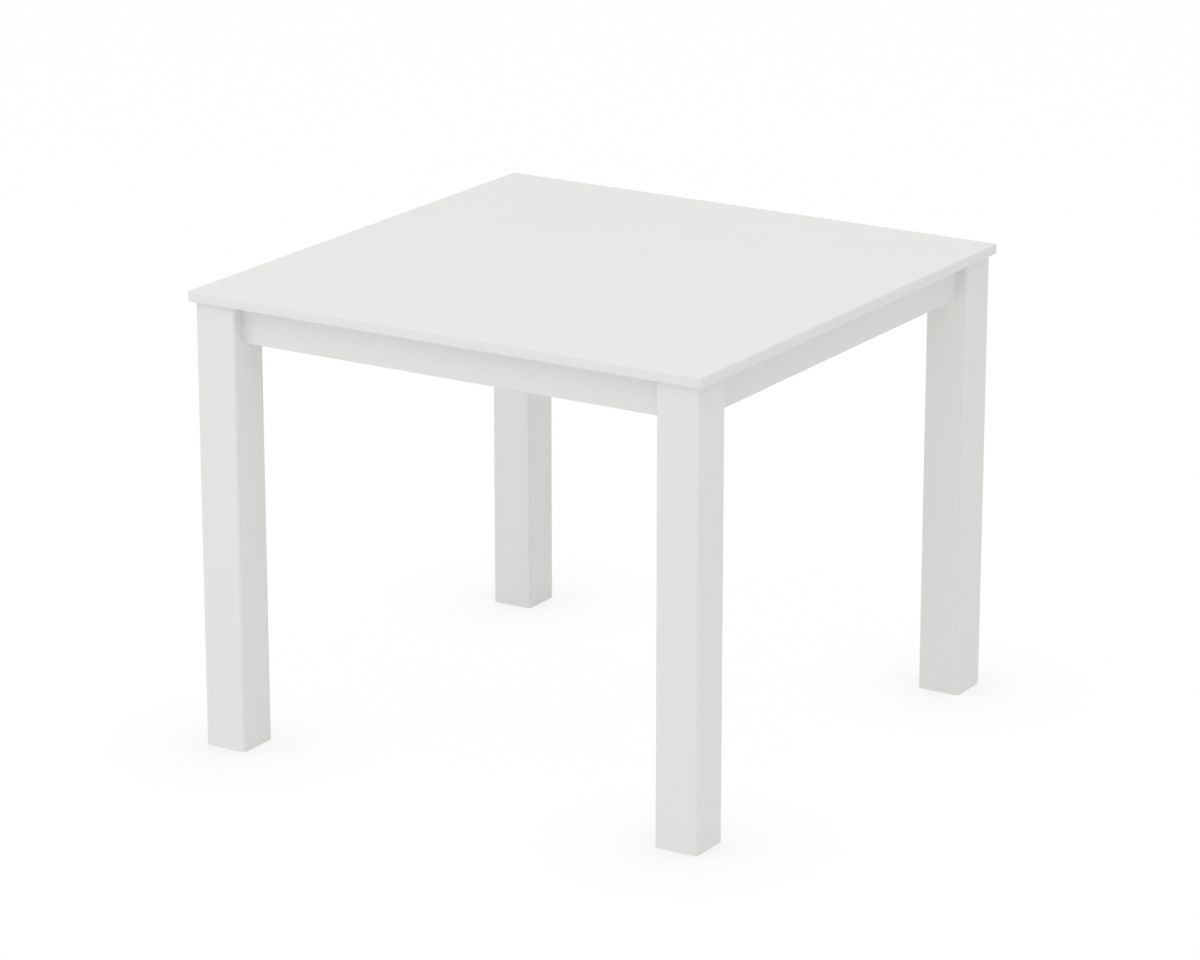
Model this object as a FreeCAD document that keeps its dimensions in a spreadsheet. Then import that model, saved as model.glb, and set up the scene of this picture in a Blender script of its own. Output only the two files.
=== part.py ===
import FreeCAD, Part
import math
import os
import Sketcher

# A square dining table in solid plastic lumber, in millimetres.
# The origin is on the floor under the middle of the table: +X runs to the right along the front
# edge, +Y to the back, +Z up. One slab lies on four square legs. Four aprons butt between the legs,
# and a bent steel bracket behind each leg hooks into two of them. Two bolts through each bracket
# pull the leg into its corner. Two rails under the slab run from the front apron to the back one,
# and angle clips with slots hold the slab down and let it grow and shrink.

SIZES = (
    ("top_width", 914.4, "tabletop, left to right"),
    ("top_depth", 914.4, "tabletop, front to back"),
    ("top_thickness", 17, "tabletop slab"),
    ("top_corner_radius", 4.1, "tabletop, its upright corners"),
    ("top_edge_radius", 3, "tabletop, its upper and lower edges"),
    ("top_overhang", 8.7, "tabletop beyond the outer faces of the legs"),
    ("table_height", 738, "floor to the upper face of the tabletop"),
    ("leg_side", 73, "one side of a square leg"),
    ("leg_edge_radius", 4.5, "long edges of a leg"),
    ("foot_edge_radius", 1.5, "edges round the foot of a leg"),
    ("leg_flat_inset", 7, "flat on the leg's inner corner, from the aprons' inner faces"),
    ("leg_flat_margin", 4, "flat on the leg below the lower edge of the bracket"),
    ("apron_height", 60, "apron board, its depth below the tabletop"),
    ("apron_thickness", 25, "apron board"),
    ("apron_setback", 19, "apron's outer face behind the leg's outer face"),
    ("rail_height", 45, "rail board, its depth below the tabletop"),
    ("rail_thickness", 25, "rail board"),
    ("rail_spacing", 300, "between the centre lines of the two rails"),
    ("board_edge_radius", 2.5, "long edges of the aprons and rails"),
    ("bracket_thickness", 2.5, "corner bracket, its steel"),
    ("bracket_margin", 7, "apron above and below the corner bracket"),
    ("bracket_gap", 2, "corner bracket to the leg's flat, for tightening"),
    ("bracket_flange", 34, "corner bracket's flange along an apron"),
    ("bracket_lip", 6, "corner bracket's end lip, into the apron's kerf"),
    ("kerf_clearance", 0.3, "kerf beyond the lip on each side and at its bottom"),
    ("bracket_hole_inset", 14, "flange screws from the end of the flange"),
    ("bracket_hole_spacing", 24, "between the two screws of a flange"),
    ("bend_radius", 2, "inside of the bends in the steel brackets"),
    ("bolt_diameter", 8, "leg bolt"),
    ("bolt_length", 30, "leg bolt under its head"),
    ("bolt_spacing", 24, "between the two bolts of a leg"),
    ("bolt_head_width", 13, "leg bolt's hexagon across its flats"),
    ("bolt_head_height", 5.3, "leg bolt's hexagon"),
    ("bolt_head_bevel", 1.1, "height of the bevel round the hexagon"),
    ("bolt_tip_bevel", 1, "bevel round the end of the leg bolt"),
    ("bolt_clearance", 0.5, "bracket's bolt holes, on the radius"),
    ("washer_diameter", 18, "flat washer"),
    ("washer_thickness", 1.6, "flat washer"),
    ("washer_clearance", 0.3, "both washers round the bolt, on the radius"),
    ("spring_washer_diameter", 13.6, "split spring washer"),
    ("spring_washer_thickness", 2, "split spring washer, pressed flat"),
    ("spring_washer_split", 1.2, "slit in the spring washer"),
    ("insert_diameter", 12, "threaded insert in the leg"),
    ("insert_length", 18, "threaded insert in the leg"),
    ("insert_hole_depth", 28, "hole for the insert and the end of the bolt"),
    ("thread_clearance", 0.05, "each thread in its hole, on the radius"),
    ("screw_diameter", 4.8, "pan-head screw"),
    ("screw_length", 20, "screws of the brackets and of the clips' upright legs"),
    ("top_screw_length", 14, "screws up into the tabletop"),
    ("screw_tip", 4, "screw's pointed end"),
    ("screw_head_diameter", 9, "pan head"),
    ("screw_head_height", 3.2, "pan head"),
    ("screw_head_radius", 1.8, "rounding of the pan head"),
    ("recess_length", 4.6, "cross recess, tip to tip"),
    ("recess_width", 1.1, "cross recess, one arm"),
    ("recess_depth", 1.8, "cross recess"),
    ("screw_clearance", 0.4, "screw holes in the steel, on the radius"),
    ("pilot_extra", 1.5, "pilot hole beyond the tip of its screw"),
    ("angle_thickness", 2.5, "rail bracket, its steel"),
    ("angle_leg", 30, "rail bracket, each leg"),
    ("angle_margin", 4.5, "rail above and below the rail bracket"),
    ("angle_hole", 19, "rail bracket's screws from its corner"),
    ("angle_hole_spacing", 18, "between the two screws of a leg of the rail bracket"),
    ("clip_thickness", 2, "tabletop clip, its steel"),
    ("clip_leg", 25, "tabletop clip, each leg"),
    ("clip_width", 20, "tabletop clip, along the board"),
    ("clip_hole", 14.5, "tabletop clip's screws from its corner"),
    ("clip_slot_travel", 5, "clip's slot, between the centres of its two ends"),
    ("clip_inset", 96, "outer clips of an apron from the legs"),
    ("rail_clip_inset", 200, "clips of a rail from its ends"),
)

# Lengths and places that follow from the sizes. A corner is measured from the outer corner of its
# leg: apron_back is the aprons' inner faces, and flat_start is where the flat on the leg's inner
# corner meets each side. The flat and the two sides of the bracket's plate are diagonals, and
# leg_flat, plate_near and plate_far are x + y along them.
WORKED_OUT = (
    ("leg_height", "Sizes.table_height - Sizes.top_thickness"),
    ("leg_x", "Sizes.top_width / 2 - Sizes.top_overhang"),
    ("leg_y", "Sizes.top_depth / 2 - Sizes.top_overhang"),
    ("span_x", "2 * (Places.leg_x - Sizes.leg_side)"),
    ("span_y", "2 * (Places.leg_y - Sizes.leg_side)"),
    ("apron_x", "Places.leg_x - Sizes.apron_setback"),
    ("apron_y", "Places.leg_y - Sizes.apron_setback"),
    ("apron_back", "Sizes.apron_setback + Sizes.apron_thickness"),
    ("apron_face", "Places.leg_y - Places.apron_back"),
    ("apron_z", "Places.leg_height - Sizes.apron_height"),
    ("rail_length", "2 * Places.apron_face"),
    ("rail_x", "(Sizes.rail_spacing + Sizes.rail_thickness) / 2"),
    ("rail_z", "Places.leg_height - Sizes.rail_height"),
    ("flat_start", "Places.apron_back + Sizes.leg_flat_inset"),
    ("leg_flat", "Places.flat_start + Sizes.leg_side"),
    ("plate_near", "Places.leg_flat + Sizes.bracket_gap * sqrt(2)"),
    ("plate_far", "Places.plate_near + Sizes.bracket_thickness * sqrt(2)"),
    ("bracket_front", "Places.apron_back + Sizes.bracket_thickness"),
    ("flange_end", "Places.plate_near - Places.apron_back + Sizes.bracket_flange"),
    ("flange_hole", "Places.flange_end - Sizes.bracket_hole_inset"),
    ("bracket_height", "Sizes.apron_height - 2 * Sizes.bracket_margin"),
    ("bracket_z", "Places.apron_z + Sizes.bracket_margin"),
    ("bracket_middle", "Places.bracket_z + Places.bracket_height / 2"),
    ("angle_height", "Sizes.rail_height - 2 * Sizes.angle_margin"),
    ("angle_z", "Places.rail_z + Sizes.angle_margin"),
    ("angle_middle", "Places.angle_z + Places.angle_height / 2"),
    ("clip_z", "Places.leg_height - Sizes.clip_hole"),
    ("bolt_radius", "Sizes.bolt_diameter / 2"),
    ("insert_radius", "Sizes.insert_diameter / 2"),
    ("pilot_radius", "Sizes.screw_diameter / 2 + Sizes.thread_clearance"),
    ("screw_hole_radius", "Sizes.screw_diameter / 2 + Sizes.screw_clearance"),
    ("washer_hole_radius", "Places.bolt_radius + Sizes.washer_clearance"),
    ("washer_stack", "Sizes.washer_thickness + Sizes.spring_washer_thickness"),
)

# Each seat is a place on the plan and the quarter turns, to the left, of the piece that stands
# there. A leg or bracket has its outer corner at its seat. A board has the middle of its outer
# face there, and faces the middle of the table.
CORNERS = {
    "front_left": ("-Places.leg_x", "-Places.leg_y", 0),
    "front_right": ("Places.leg_x", "-Places.leg_y", 1),
    "back_right": ("Places.leg_x", "Places.leg_y", 2),
    "back_left": ("-Places.leg_x", "Places.leg_y", 3),
}
APRONS = {
    "front": ("0", "-Places.apron_y", 0),
    "right": ("Places.apron_x", "0", 1),
    "back": ("0", "Places.apron_y", 2),
    "left": ("-Places.apron_x", "0", 3),
}
RAILS = {
    "right": ("Places.rail_x", "0", 1),
    "left": ("-Places.rail_x", "0", 3),
}
RAIL_ENDS = {
    "front_right": ("Places.rail_x", "-Places.apron_face", 0),
    "front_left": ("-Places.rail_x", "-Places.apron_face", 1),
    "back_left": ("-Places.rail_x", "Places.apron_face", 2),
    "back_right": ("Places.rail_x", "Places.apron_face", 3),
}
APRON_SPAN = {"front": "Places.span_x", "back": "Places.span_x",
              "left": "Places.span_y", "right": "Places.span_y"}

SKETCH_ORIGIN = -1
START = 1
END = 2
CENTRE = 3
FULL_TURN = 360
QUARTER_TURN = 90
EIGHTH_TURN = 45
ONTO_DIAGONAL = QUARTER_TURN + EIGHTH_TURN
SMALL = 1e-6
FACING_DOWN = FreeCAD.Rotation(0, 2 * QUARTER_TURN, 0)

doc = FreeCAD.newDocument("DiningTable")
nodes = []


# ---- the sheet and the worked-out values ----

def write_sizes():
    """Fill the sheet: a name, a value and a meaning in each row."""
    sheet = doc.addObject("Spreadsheet::Sheet", "Sizes")
    for row, (name, size, meaning) in enumerate(SIZES, 1):
        sheet.set(f"A{row}", name)
        sheet.set(f"B{row}", str(size))
        sheet.set(f"C{row}", meaning)
        sheet.setAlias(f"B{row}", name)
    doc.recompute()
    places = doc.addObject("App::VarSet", "Places")
    for name, expression in WORKED_OUT:
        places.addProperty("App::PropertyFloat", name)
        places.setExpression(name, expression)
        doc.recompute()


def value(expression):
    """Work an expression out from the sheet as it stands."""
    return float(doc.Places.evalExpression(expression))


# ---- places on the plan ----

def on_plan(seat, x, y):
    """Turn a point in a seat's own axes into two expressions on the plan of the table."""
    base_x, base_y, quarters = seat
    turned = ((x, y), (f"-({y})", x), (f"-({x})", f"-({y})"), (y, f"-({x})"))[quarters]
    return f"{base_x} + {turned[0]}", f"{base_y} + {turned[1]}"


def facing(seat, angle):
    """Turn a fastener so that its head points level, at an angle in a seat's own axes."""
    return FreeCAD.Rotation(angle + QUARTER_TURN * seat[2], QUARTER_TURN, 0)


def place(piece, x, y, z, rotation):
    """Turn a piece and tie its place to three expressions."""
    piece.Placement = FreeCAD.Placement(FreeCAD.Vector(0, 0, 0), rotation)
    for axis, expression in zip("xyz", (x, y, z)):
        piece.setExpression(f"Placement.Base.{axis}", expression)


def place_on_seat(piece, seat, z):
    """Stand a piece on its seat at a height."""
    rotation = FreeCAD.Rotation(QUARTER_TURN * seat[2], 0, 0)
    place(piece, seat[0], seat[1], z, rotation)


# ---- sketches ----

def new_body(label):
    """Start a body for a sub-part or for the pattern of a fastener."""
    body = doc.addObject("PartDesign::Body", label)
    body.Label = label
    return body


def new_sketch(body, name, role, offset=("0", "0", "0"), turn=0):
    """Attach a sketch to a plane of the body's origin, moved and turned in that plane's axes."""
    sketch = body.newObject("Sketcher::SketchObject", name)
    plane = next(part for part in body.Origin.OriginFeatures if part.Role == role)
    sketch.AttachmentSupport = [(plane, "")]
    sketch.MapMode = "FlatFace"
    rotation = FreeCAD.Rotation(FreeCAD.Vector(0, 1, 0), turn)
    sketch.AttachmentOffset = FreeCAD.Placement(FreeCAD.Vector(0, 0, 0), rotation)
    for axis, expression in zip("xyz", offset):
        sketch.setExpression(f"AttachmentOffset.Base.{axis}", expression)
    return sketch


def tie(sketch, kind, where, expression):
    """Add a size to a sketch and bind it to an expression."""
    index = sketch.addConstraint(Sketcher.Constraint(kind, *where, value(expression)))
    name = f"size_{index}"
    sketch.renameConstraint(index, name)
    sketch.setExpression(f"Constraints.{name}", expression)


def tie_point(sketch, line, end, x, y):
    """Bind a point of a line or arc to a place measured from the sketch's origin."""
    tie(sketch, "DistanceX", (SKETCH_ORIGIN, START, line, end), x)
    tie(sketch, "DistanceY", (SKETCH_ORIGIN, START, line, end), y)


def draw_outline(sketch, corners):
    """Draw a closed outline of straight sides through corners given as expressions."""
    points = [FreeCAD.Vector(value(x), value(y), 0) for x, y in corners]
    sides = []
    for start, end in zip(points, points[1:] + points[:1]):
        sides.append(sketch.addGeometry(Part.LineSegment(start, end), False))
    for side, following in zip(sides, sides[1:] + sides[:1]):
        sketch.addConstraint(Sketcher.Constraint("Coincident", side, END, following, START))
    for side, (x, y) in zip(sides, corners):
        tie_point(sketch, side, START, x, y)


def draw_rectangle(sketch, left, low, right, high):
    """Draw a rectangle between two pairs of expressions."""
    draw_outline(sketch, ((left, low), (right, low), (right, high), (left, high)))


def draw_circle(sketch, x, y, radius):
    """Draw a circle whose centre and radius are expressions."""
    centre = FreeCAD.Vector(value(x), value(y), 0)
    circle = Part.Circle(centre, FreeCAD.Vector(0, 0, 1), value(radius))
    index = sketch.addGeometry(circle, False)
    tie(sketch, "Radius", (index,), radius)
    tie_point(sketch, index, CENTRE, x, y)


def draw_upright_pair(sketch, x, middle, spacing, radius):
    """Draw two circles, one above the other."""
    for sign in "-+":
        draw_circle(sketch, x, f"{middle} {sign} {spacing} / 2", radius)


def draw_slot(sketch, x, low, high, radius):
    """Draw a slot between two centres, one above the other: half circles joined by tangents."""
    right = Part.LineSegment(FreeCAD.Vector(value(x) + value(radius), value(low), 0),
                             FreeCAD.Vector(value(x) + value(radius), value(high), 0))
    left = Part.LineSegment(FreeCAD.Vector(value(x) - value(radius), value(high), 0),
                            FreeCAD.Vector(value(x) - value(radius), value(low), 0))
    ends = []
    for y, first_angle in ((high, 0), (low, math.pi)):
        centre = FreeCAD.Vector(value(x), value(y), 0)
        circle = Part.Circle(centre, FreeCAD.Vector(0, 0, 1), value(radius))
        ends.append(Part.ArcOfCircle(circle, first_angle, first_angle + math.pi))
    pieces = [sketch.addGeometry(piece, False) for piece in (right, ends[0], left, ends[1])]
    for piece, following in zip(pieces, pieces[1:] + pieces[:1]):
        sketch.addConstraint(Sketcher.Constraint("Tangent", piece, END, following, START))
    sketch.addConstraint(Sketcher.Constraint("Equal", pieces[1], pieces[3]))
    tie(sketch, "Radius", (pieces[1],), radius)
    tie_point(sketch, pieces[1], CENTRE, x, high)
    tie_point(sketch, pieces[3], CENTRE, x, low)


# ---- features ----

def pad(body, sketch, name, length):
    """Raise a sketch into a solid along its own normal."""
    feature = body.newObject("PartDesign::Pad", name)
    feature.Profile = sketch
    feature.setExpression("Length", length)
    doc.recompute()
    return feature


def pocket(body, sketch, name, depth, along_normal=False):
    """Cut a sketch into the solid, against its own normal or along it."""
    volume_before = body.Shape.Volume
    feature = body.newObject("PartDesign::Pocket", name)
    feature.Profile = sketch
    feature.Reversed = along_normal
    feature.setExpression("Length", depth)
    doc.recompute()
    if body.Shape.Volume > volume_before - SMALL:
        raise RuntimeError(f"{body.Label}: {name} cuts nothing")
    return feature


def revolve(body, sketch, name, kind="PartDesign::Revolution"):
    """Turn a half profile once round the sketch's upright axis, as a solid or as a groove."""
    feature = body.newObject(kind, name)
    feature.Profile = sketch
    feature.ReferenceAxis = (sketch, ["V_Axis"])
    feature.Angle = FULL_TURN
    doc.recompute()
    return feature


def round_edges(body, feature, name, radius, chosen):
    """Round the edges of a feature that a test picks out."""
    edges = enumerate(feature.Shape.Edges, 1)
    names = [f"Edge{number}" for number, edge in edges if chosen(edge)]
    if not names:
        raise RuntimeError(f"{body.Label}: {name} finds no edge")
    fillet = body.newObject("PartDesign::Fillet", name)
    fillet.Base = (feature, names)
    fillet.setExpression("Radius", radius)
    doc.recompute()
    return fillet


def is_upright(edge):
    box = edge.BoundBox
    return box.ZLength > SMALL and max(box.XLength, box.YLength) < SMALL


def is_lengthwise(edge):
    box = edge.BoundBox
    return box.XLength > SMALL and max(box.YLength, box.ZLength) < SMALL


def is_level(edge):
    return edge.BoundBox.ZLength < SMALL


def is_level_at(height):
    """Give a test for the edges that lie level at a height."""
    level = value(height)
    return lambda edge: is_level(edge) and abs(edge.BoundBox.ZMin - level) < SMALL


def stands_at(corners):
    """Give a test for the upright edges that stand at any of some corners of the plan."""
    spots = [FreeCAD.Vector(value(x), value(y), 0) for x, y in corners]

    def test(edge):
        foot = FreeCAD.Vector(edge.BoundBox.Center.x, edge.BoundBox.Center.y, 0)
        return is_upright(edge) and any(foot.distanceToPoint(spot) < SMALL for spot in spots)
    return test


# ---- the tabletop, legs, aprons and rails ----

def clip_seats():
    """List each clip's seat, how far along the board it lies and its board's inner face."""
    seats = []
    for name, seat in APRONS.items():
        reach = f"({APRON_SPAN[name]} / 2 - Sizes.clip_inset)"
        seats += [(seat, along, "Sizes.apron_thickness") for along in (f"-{reach}", "0", reach)]
    for seat in RAILS.values():
        reach = "(Places.rail_length / 2 - Sizes.rail_clip_inset)"
        seats += [(seat, along, "Sizes.rail_thickness") for along in (f"-{reach}", reach)]
    return seats


def make_tabletop():
    """One slab, its edges rounded, with a pilot hole in its underside for each clip."""
    body = new_body("tabletop")
    sketch = new_sketch(body, "tabletop_outline", "XY_Plane")
    draw_rectangle(sketch, "-Sizes.top_width / 2", "-Sizes.top_depth / 2",
                   "Sizes.top_width / 2", "Sizes.top_depth / 2")
    slab = pad(body, sketch, "tabletop_slab", "Sizes.top_thickness")
    slab = round_edges(body, slab, "tabletop_corners", "Sizes.top_corner_radius", is_upright)
    round_edges(body, slab, "tabletop_edges", "Sizes.top_edge_radius", is_level)
    holes = new_sketch(body, "tabletop_holes", "XY_Plane")
    for seat, along, board_face in clip_seats():
        x, y = on_plan(seat, along, f"({board_face} + Sizes.clip_hole)")
        draw_circle(holes, x, y, "Places.pilot_radius")
    depth = "Sizes.top_screw_length - Sizes.clip_thickness + Sizes.pilot_extra"
    pocket(body, holes, "tabletop_pilot_holes", depth, along_normal=True)
    place(body, "0", "0", "Places.leg_height", FreeCAD.Rotation())
    nodes.append(body)


def make_leg(corner):
    """A square post. Behind the aprons its inner corner is cut flat and takes two inserts."""
    body = new_body(f"leg_{corner}")
    sketch = new_sketch(body, "leg_section", "XY_Plane")
    draw_rectangle(sketch, "0", "0", "Sizes.leg_side", "Sizes.leg_side")
    post = pad(body, sketch, "leg_post", "Places.leg_height")
    post = round_edges(body, post, "leg_edges", "Sizes.leg_edge_radius", is_upright)
    round_edges(body, post, "leg_foot", "Sizes.foot_edge_radius", is_level_at("0"))
    flat = new_sketch(body, "leg_flat_outline", "XY_Plane", ("0", "0", "Places.leg_height"))
    draw_outline(flat, (("Sizes.leg_side", "Places.flat_start"),
                        ("Sizes.leg_side", "Sizes.leg_side"),
                        ("Places.flat_start", "Sizes.leg_side")))
    depth = "Sizes.bracket_margin + Places.bracket_height + Sizes.leg_flat_margin"
    pocket(body, flat, "leg_flat", depth)
    holes = new_sketch(body, "leg_insert_outline", "XZ_Plane",
                       ("Places.leg_flat / 2", "0", "-Places.leg_flat / 2"), ONTO_DIAGONAL)
    draw_upright_pair(holes, "0", "Places.bracket_middle", "Sizes.bolt_spacing",
                      "Places.insert_radius + Sizes.thread_clearance")
    pocket(body, holes, "leg_insert_holes", "Sizes.insert_hole_depth")
    place_on_seat(body, CORNERS[corner], "0")
    nodes.append(body)


def make_board(label, length, height, thickness):
    """A board on edge with its long edges rounded, its outer face on XZ and its middle at x = 0."""
    body = new_body(label)
    sketch = new_sketch(body, f"{label}_section", "YZ_Plane", ("0", "0", f"-{length} / 2"))
    draw_rectangle(sketch, "0", "0", thickness, height)
    board = pad(body, sketch, f"{label}_board", length)
    round_edges(body, board, f"{label}_edges", "Sizes.board_edge_radius", is_lengthwise)
    return body


def drill_clip_holes(body, label, reaches, thickness, height):
    """Drill the pilot holes for the clips' upright legs into the inner face of a board."""
    holes = new_sketch(body, f"{label}_clip_outline", "XZ_Plane", ("0", "0", f"-{thickness}"))
    for along in reaches:
        draw_circle(holes, along, f"{height} - Sizes.clip_hole", "Places.pilot_radius")
    depth = "Sizes.screw_length - Sizes.clip_thickness + Sizes.pilot_extra"
    pocket(body, holes, f"{label}_clip_holes", depth, along_normal=True)


def make_apron(side):
    """An apron between two legs, with a kerf and two pilot holes near each end for the brackets."""
    label = f"apron_{side}"
    span = APRON_SPAN[side]
    body = make_board(label, span, "Sizes.apron_height", "Sizes.apron_thickness")
    inner_face = ("0", "0", "-Sizes.apron_thickness")
    outer_corner = f"({span} / 2 + Sizes.leg_side)"

    kerfs = new_sketch(body, f"{label}_kerf_outline", "XZ_Plane", inner_face)
    near = f"({outer_corner} - Places.flange_end - Sizes.kerf_clearance)"
    far = (f"({outer_corner} - Places.flange_end + Sizes.bracket_thickness"
           " + Sizes.kerf_clearance)")
    draw_rectangle(kerfs, f"-{far}", "0", f"-{near}", "Sizes.apron_height")
    draw_rectangle(kerfs, near, "0", far, "Sizes.apron_height")
    depth = "Sizes.bracket_lip + Sizes.kerf_clearance"
    pocket(body, kerfs, f"{label}_kerfs", depth, along_normal=True)

    holes = new_sketch(body, f"{label}_bracket_outline", "XZ_Plane", inner_face)
    middle = "Places.bracket_middle - Places.apron_z"
    hole = f"({outer_corner} - Places.flange_hole)"
    for along in (f"-{hole}", hole):
        draw_upright_pair(holes, along, middle, "Sizes.bracket_hole_spacing",
                          "Places.pilot_radius")
    depth = "Sizes.screw_length - Sizes.bracket_thickness + Sizes.pilot_extra"
    pocket(body, holes, f"{label}_bracket_holes", depth, along_normal=True)

    reach = f"({span} / 2 - Sizes.clip_inset)"
    drill_clip_holes(body, label, (f"-{reach}", "0", reach), "Sizes.apron_thickness",
                     "Sizes.apron_height")
    if side in ("front", "back"):
        drill_rail_end_holes(body, label)
    place_on_seat(body, APRONS[side], "Places.apron_z")
    nodes.append(body)


def drill_rail_end_holes(body, label):
    """Drill the pilot holes for the rail brackets into the inner face of an apron."""
    holes = new_sketch(body, f"{label}_angle_outline", "XZ_Plane",
                       ("0", "0", "-Sizes.apron_thickness"))
    reach = "(Places.rail_x + Sizes.angle_hole)"
    for along in (f"-{reach}", reach):
        draw_upright_pair(holes, along, "Places.angle_middle - Places.apron_z",
                          "Sizes.angle_hole_spacing", "Places.pilot_radius")
    depth = "Sizes.screw_length - Sizes.angle_thickness + Sizes.pilot_extra"
    pocket(body, holes, f"{label}_angle_holes", depth, along_normal=True)


def make_rail(side):
    """A rail from the front apron to the back one, with pilot holes for brackets and clips."""
    label = f"rail_{side}"
    body = make_board(label, "Places.rail_length", "Sizes.rail_height", "Sizes.rail_thickness")
    holes = new_sketch(body, f"{label}_angle_outline", "XZ_Plane")
    reach = "(Places.rail_length / 2 - Sizes.angle_hole)"
    for along in (f"-{reach}", reach):
        draw_upright_pair(holes, along, "Places.angle_middle - Places.rail_z",
                          "Sizes.angle_hole_spacing", "Places.pilot_radius")
    depth = "Sizes.screw_length - Sizes.angle_thickness + Sizes.pilot_extra"
    pocket(body, holes, f"{label}_angle_holes", depth)
    reach = "(Places.rail_length / 2 - Sizes.rail_clip_inset)"
    drill_clip_holes(body, label, (f"-{reach}", reach), "Sizes.rail_thickness",
                     "Sizes.rail_height")
    place_on_seat(body, RAILS[side], "Places.rail_z")
    nodes.append(body)


# ---- the steel brackets and clips ----

def make_corner_bracket(corner):
    """A plate across the leg's flat, a flange on each apron and a lip into each apron's kerf."""
    body = new_body(f"corner_bracket_{corner}")
    sketch = new_sketch(body, "bracket_outline", "XY_Plane")
    back = "Places.apron_back"
    front = "Places.bracket_front"
    end = "Places.flange_end"
    outer_bend = (f"Places.plate_near - {back}", back)
    inner_bend = (f"Places.plate_far - {front}", front)
    half = (
        outer_bend,
        (f"{end} - Sizes.bracket_thickness", back),
        (f"{end} - Sizes.bracket_thickness", f"{back} - Sizes.bracket_lip"),
        (end, f"{back} - Sizes.bracket_lip"),
        (end, front),
        inner_bend,
    )
    other_half = tuple((y, x) for x, y in reversed(half))
    draw_outline(sketch, half + other_half)
    plate = pad(body, sketch, "bracket_plate", "Places.bracket_height")
    outer_radius = "Sizes.bend_radius + Sizes.bracket_thickness"
    plate = round_edges(body, plate, "bracket_inner_bends", "Sizes.bend_radius",
                        stands_at((inner_bend, inner_bend[::-1])))
    round_edges(body, plate, "bracket_outer_bends", outer_radius,
                stands_at((outer_bend, outer_bend[::-1])))

    bolt_holes = new_sketch(body, "bracket_bolt_outline", "XZ_Plane",
                            ("Places.plate_far / 2", "0", "-Places.plate_far / 2"), ONTO_DIAGONAL)
    draw_upright_pair(bolt_holes, "0", "Places.bracket_height / 2", "Sizes.bolt_spacing",
                      "Places.bolt_radius + Sizes.bolt_clearance")
    pocket(body, bolt_holes, "bracket_bolt_holes", "Sizes.bracket_thickness")
    for plane, offset, along_normal in (("XZ_Plane", "-Places.bracket_front", True),
                                        ("YZ_Plane", "Places.bracket_front", False)):
        holes = new_sketch(body, f"bracket_screw_outline_{plane[:2]}", plane,
                           ("0", "0", offset))
        draw_upright_pair(holes, "Places.flange_hole", "Places.bracket_height / 2",
                          "Sizes.bracket_hole_spacing", "Places.screw_hole_radius")
        pocket(body, holes, f"bracket_screw_holes_{plane[:2]}", "Sizes.bracket_thickness",
               along_normal)
    place_on_seat(body, CORNERS[corner], "Places.bracket_z")
    nodes.append(body)


def make_angle(label, leg, thickness, length):
    """Steel bent to a right angle: its outer faces lie on x = 0 and y = 0, its length is along z."""
    body = new_body(label)
    sketch = new_sketch(body, f"{label}_outline", "XY_Plane")
    inner_corner = (thickness, thickness)
    draw_outline(sketch, (("0", "0"), (leg, "0"), (leg, thickness), inner_corner,
                          (thickness, leg), ("0", leg)))
    steel = pad(body, sketch, f"{label}_steel", length)
    steel = round_edges(body, steel, f"{label}_inner_bend", "Sizes.bend_radius",
                        stands_at((inner_corner,)))
    round_edges(body, steel, f"{label}_outer_bend", f"Sizes.bend_radius + {thickness}",
                stands_at((("0", "0"),)))
    return body


def make_rail_bracket(rail_end):
    """A steel angle in the corner between a rail and an apron, with two screws in each leg."""
    label = f"rail_bracket_{rail_end}"
    body = make_angle(label, "Sizes.angle_leg", "Sizes.angle_thickness", "Places.angle_height")
    for plane, offset, along_normal in (("XZ_Plane", "-Sizes.angle_thickness", True),
                                        ("YZ_Plane", "Sizes.angle_thickness", False)):
        holes = new_sketch(body, f"{label}_outline_{plane[:2]}", plane, ("0", "0", offset))
        draw_upright_pair(holes, "Sizes.angle_hole", "Places.angle_height / 2",
                          "Sizes.angle_hole_spacing", "Places.screw_hole_radius")
        pocket(body, holes, f"{label}_holes_{plane[:2]}", "Sizes.angle_thickness", along_normal)
    place_on_seat(body, RAIL_ENDS[rail_end], "Places.angle_z")
    nodes.append(body)


def make_clip_pattern():
    """A steel angle with a round hole for the board and a slot, along the board, for the slab."""
    label = "clip_pattern"
    body = make_angle(label, "Sizes.clip_leg", "Sizes.clip_thickness", "Sizes.clip_width")
    hole = new_sketch(body, "clip_hole_outline", "XZ_Plane", ("0", "0", "-Sizes.clip_thickness"))
    draw_circle(hole, "Sizes.clip_hole", "Sizes.clip_width / 2", "Places.screw_hole_radius")
    pocket(body, hole, "clip_hole", "Sizes.clip_thickness", along_normal=True)
    slot = new_sketch(body, "clip_slot_outline", "YZ_Plane", ("0", "0", "Sizes.clip_thickness"))
    draw_slot(slot, "Sizes.clip_hole", "(Sizes.clip_width - Sizes.clip_slot_travel) / 2",
              "(Sizes.clip_width + Sizes.clip_slot_travel) / 2", "Places.screw_hole_radius")
    pocket(body, slot, "clip_slot", "Sizes.clip_thickness")
    return body


# ---- the patterns of the fasteners: each points its head along +Z, with z = 0 under the head ----

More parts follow.
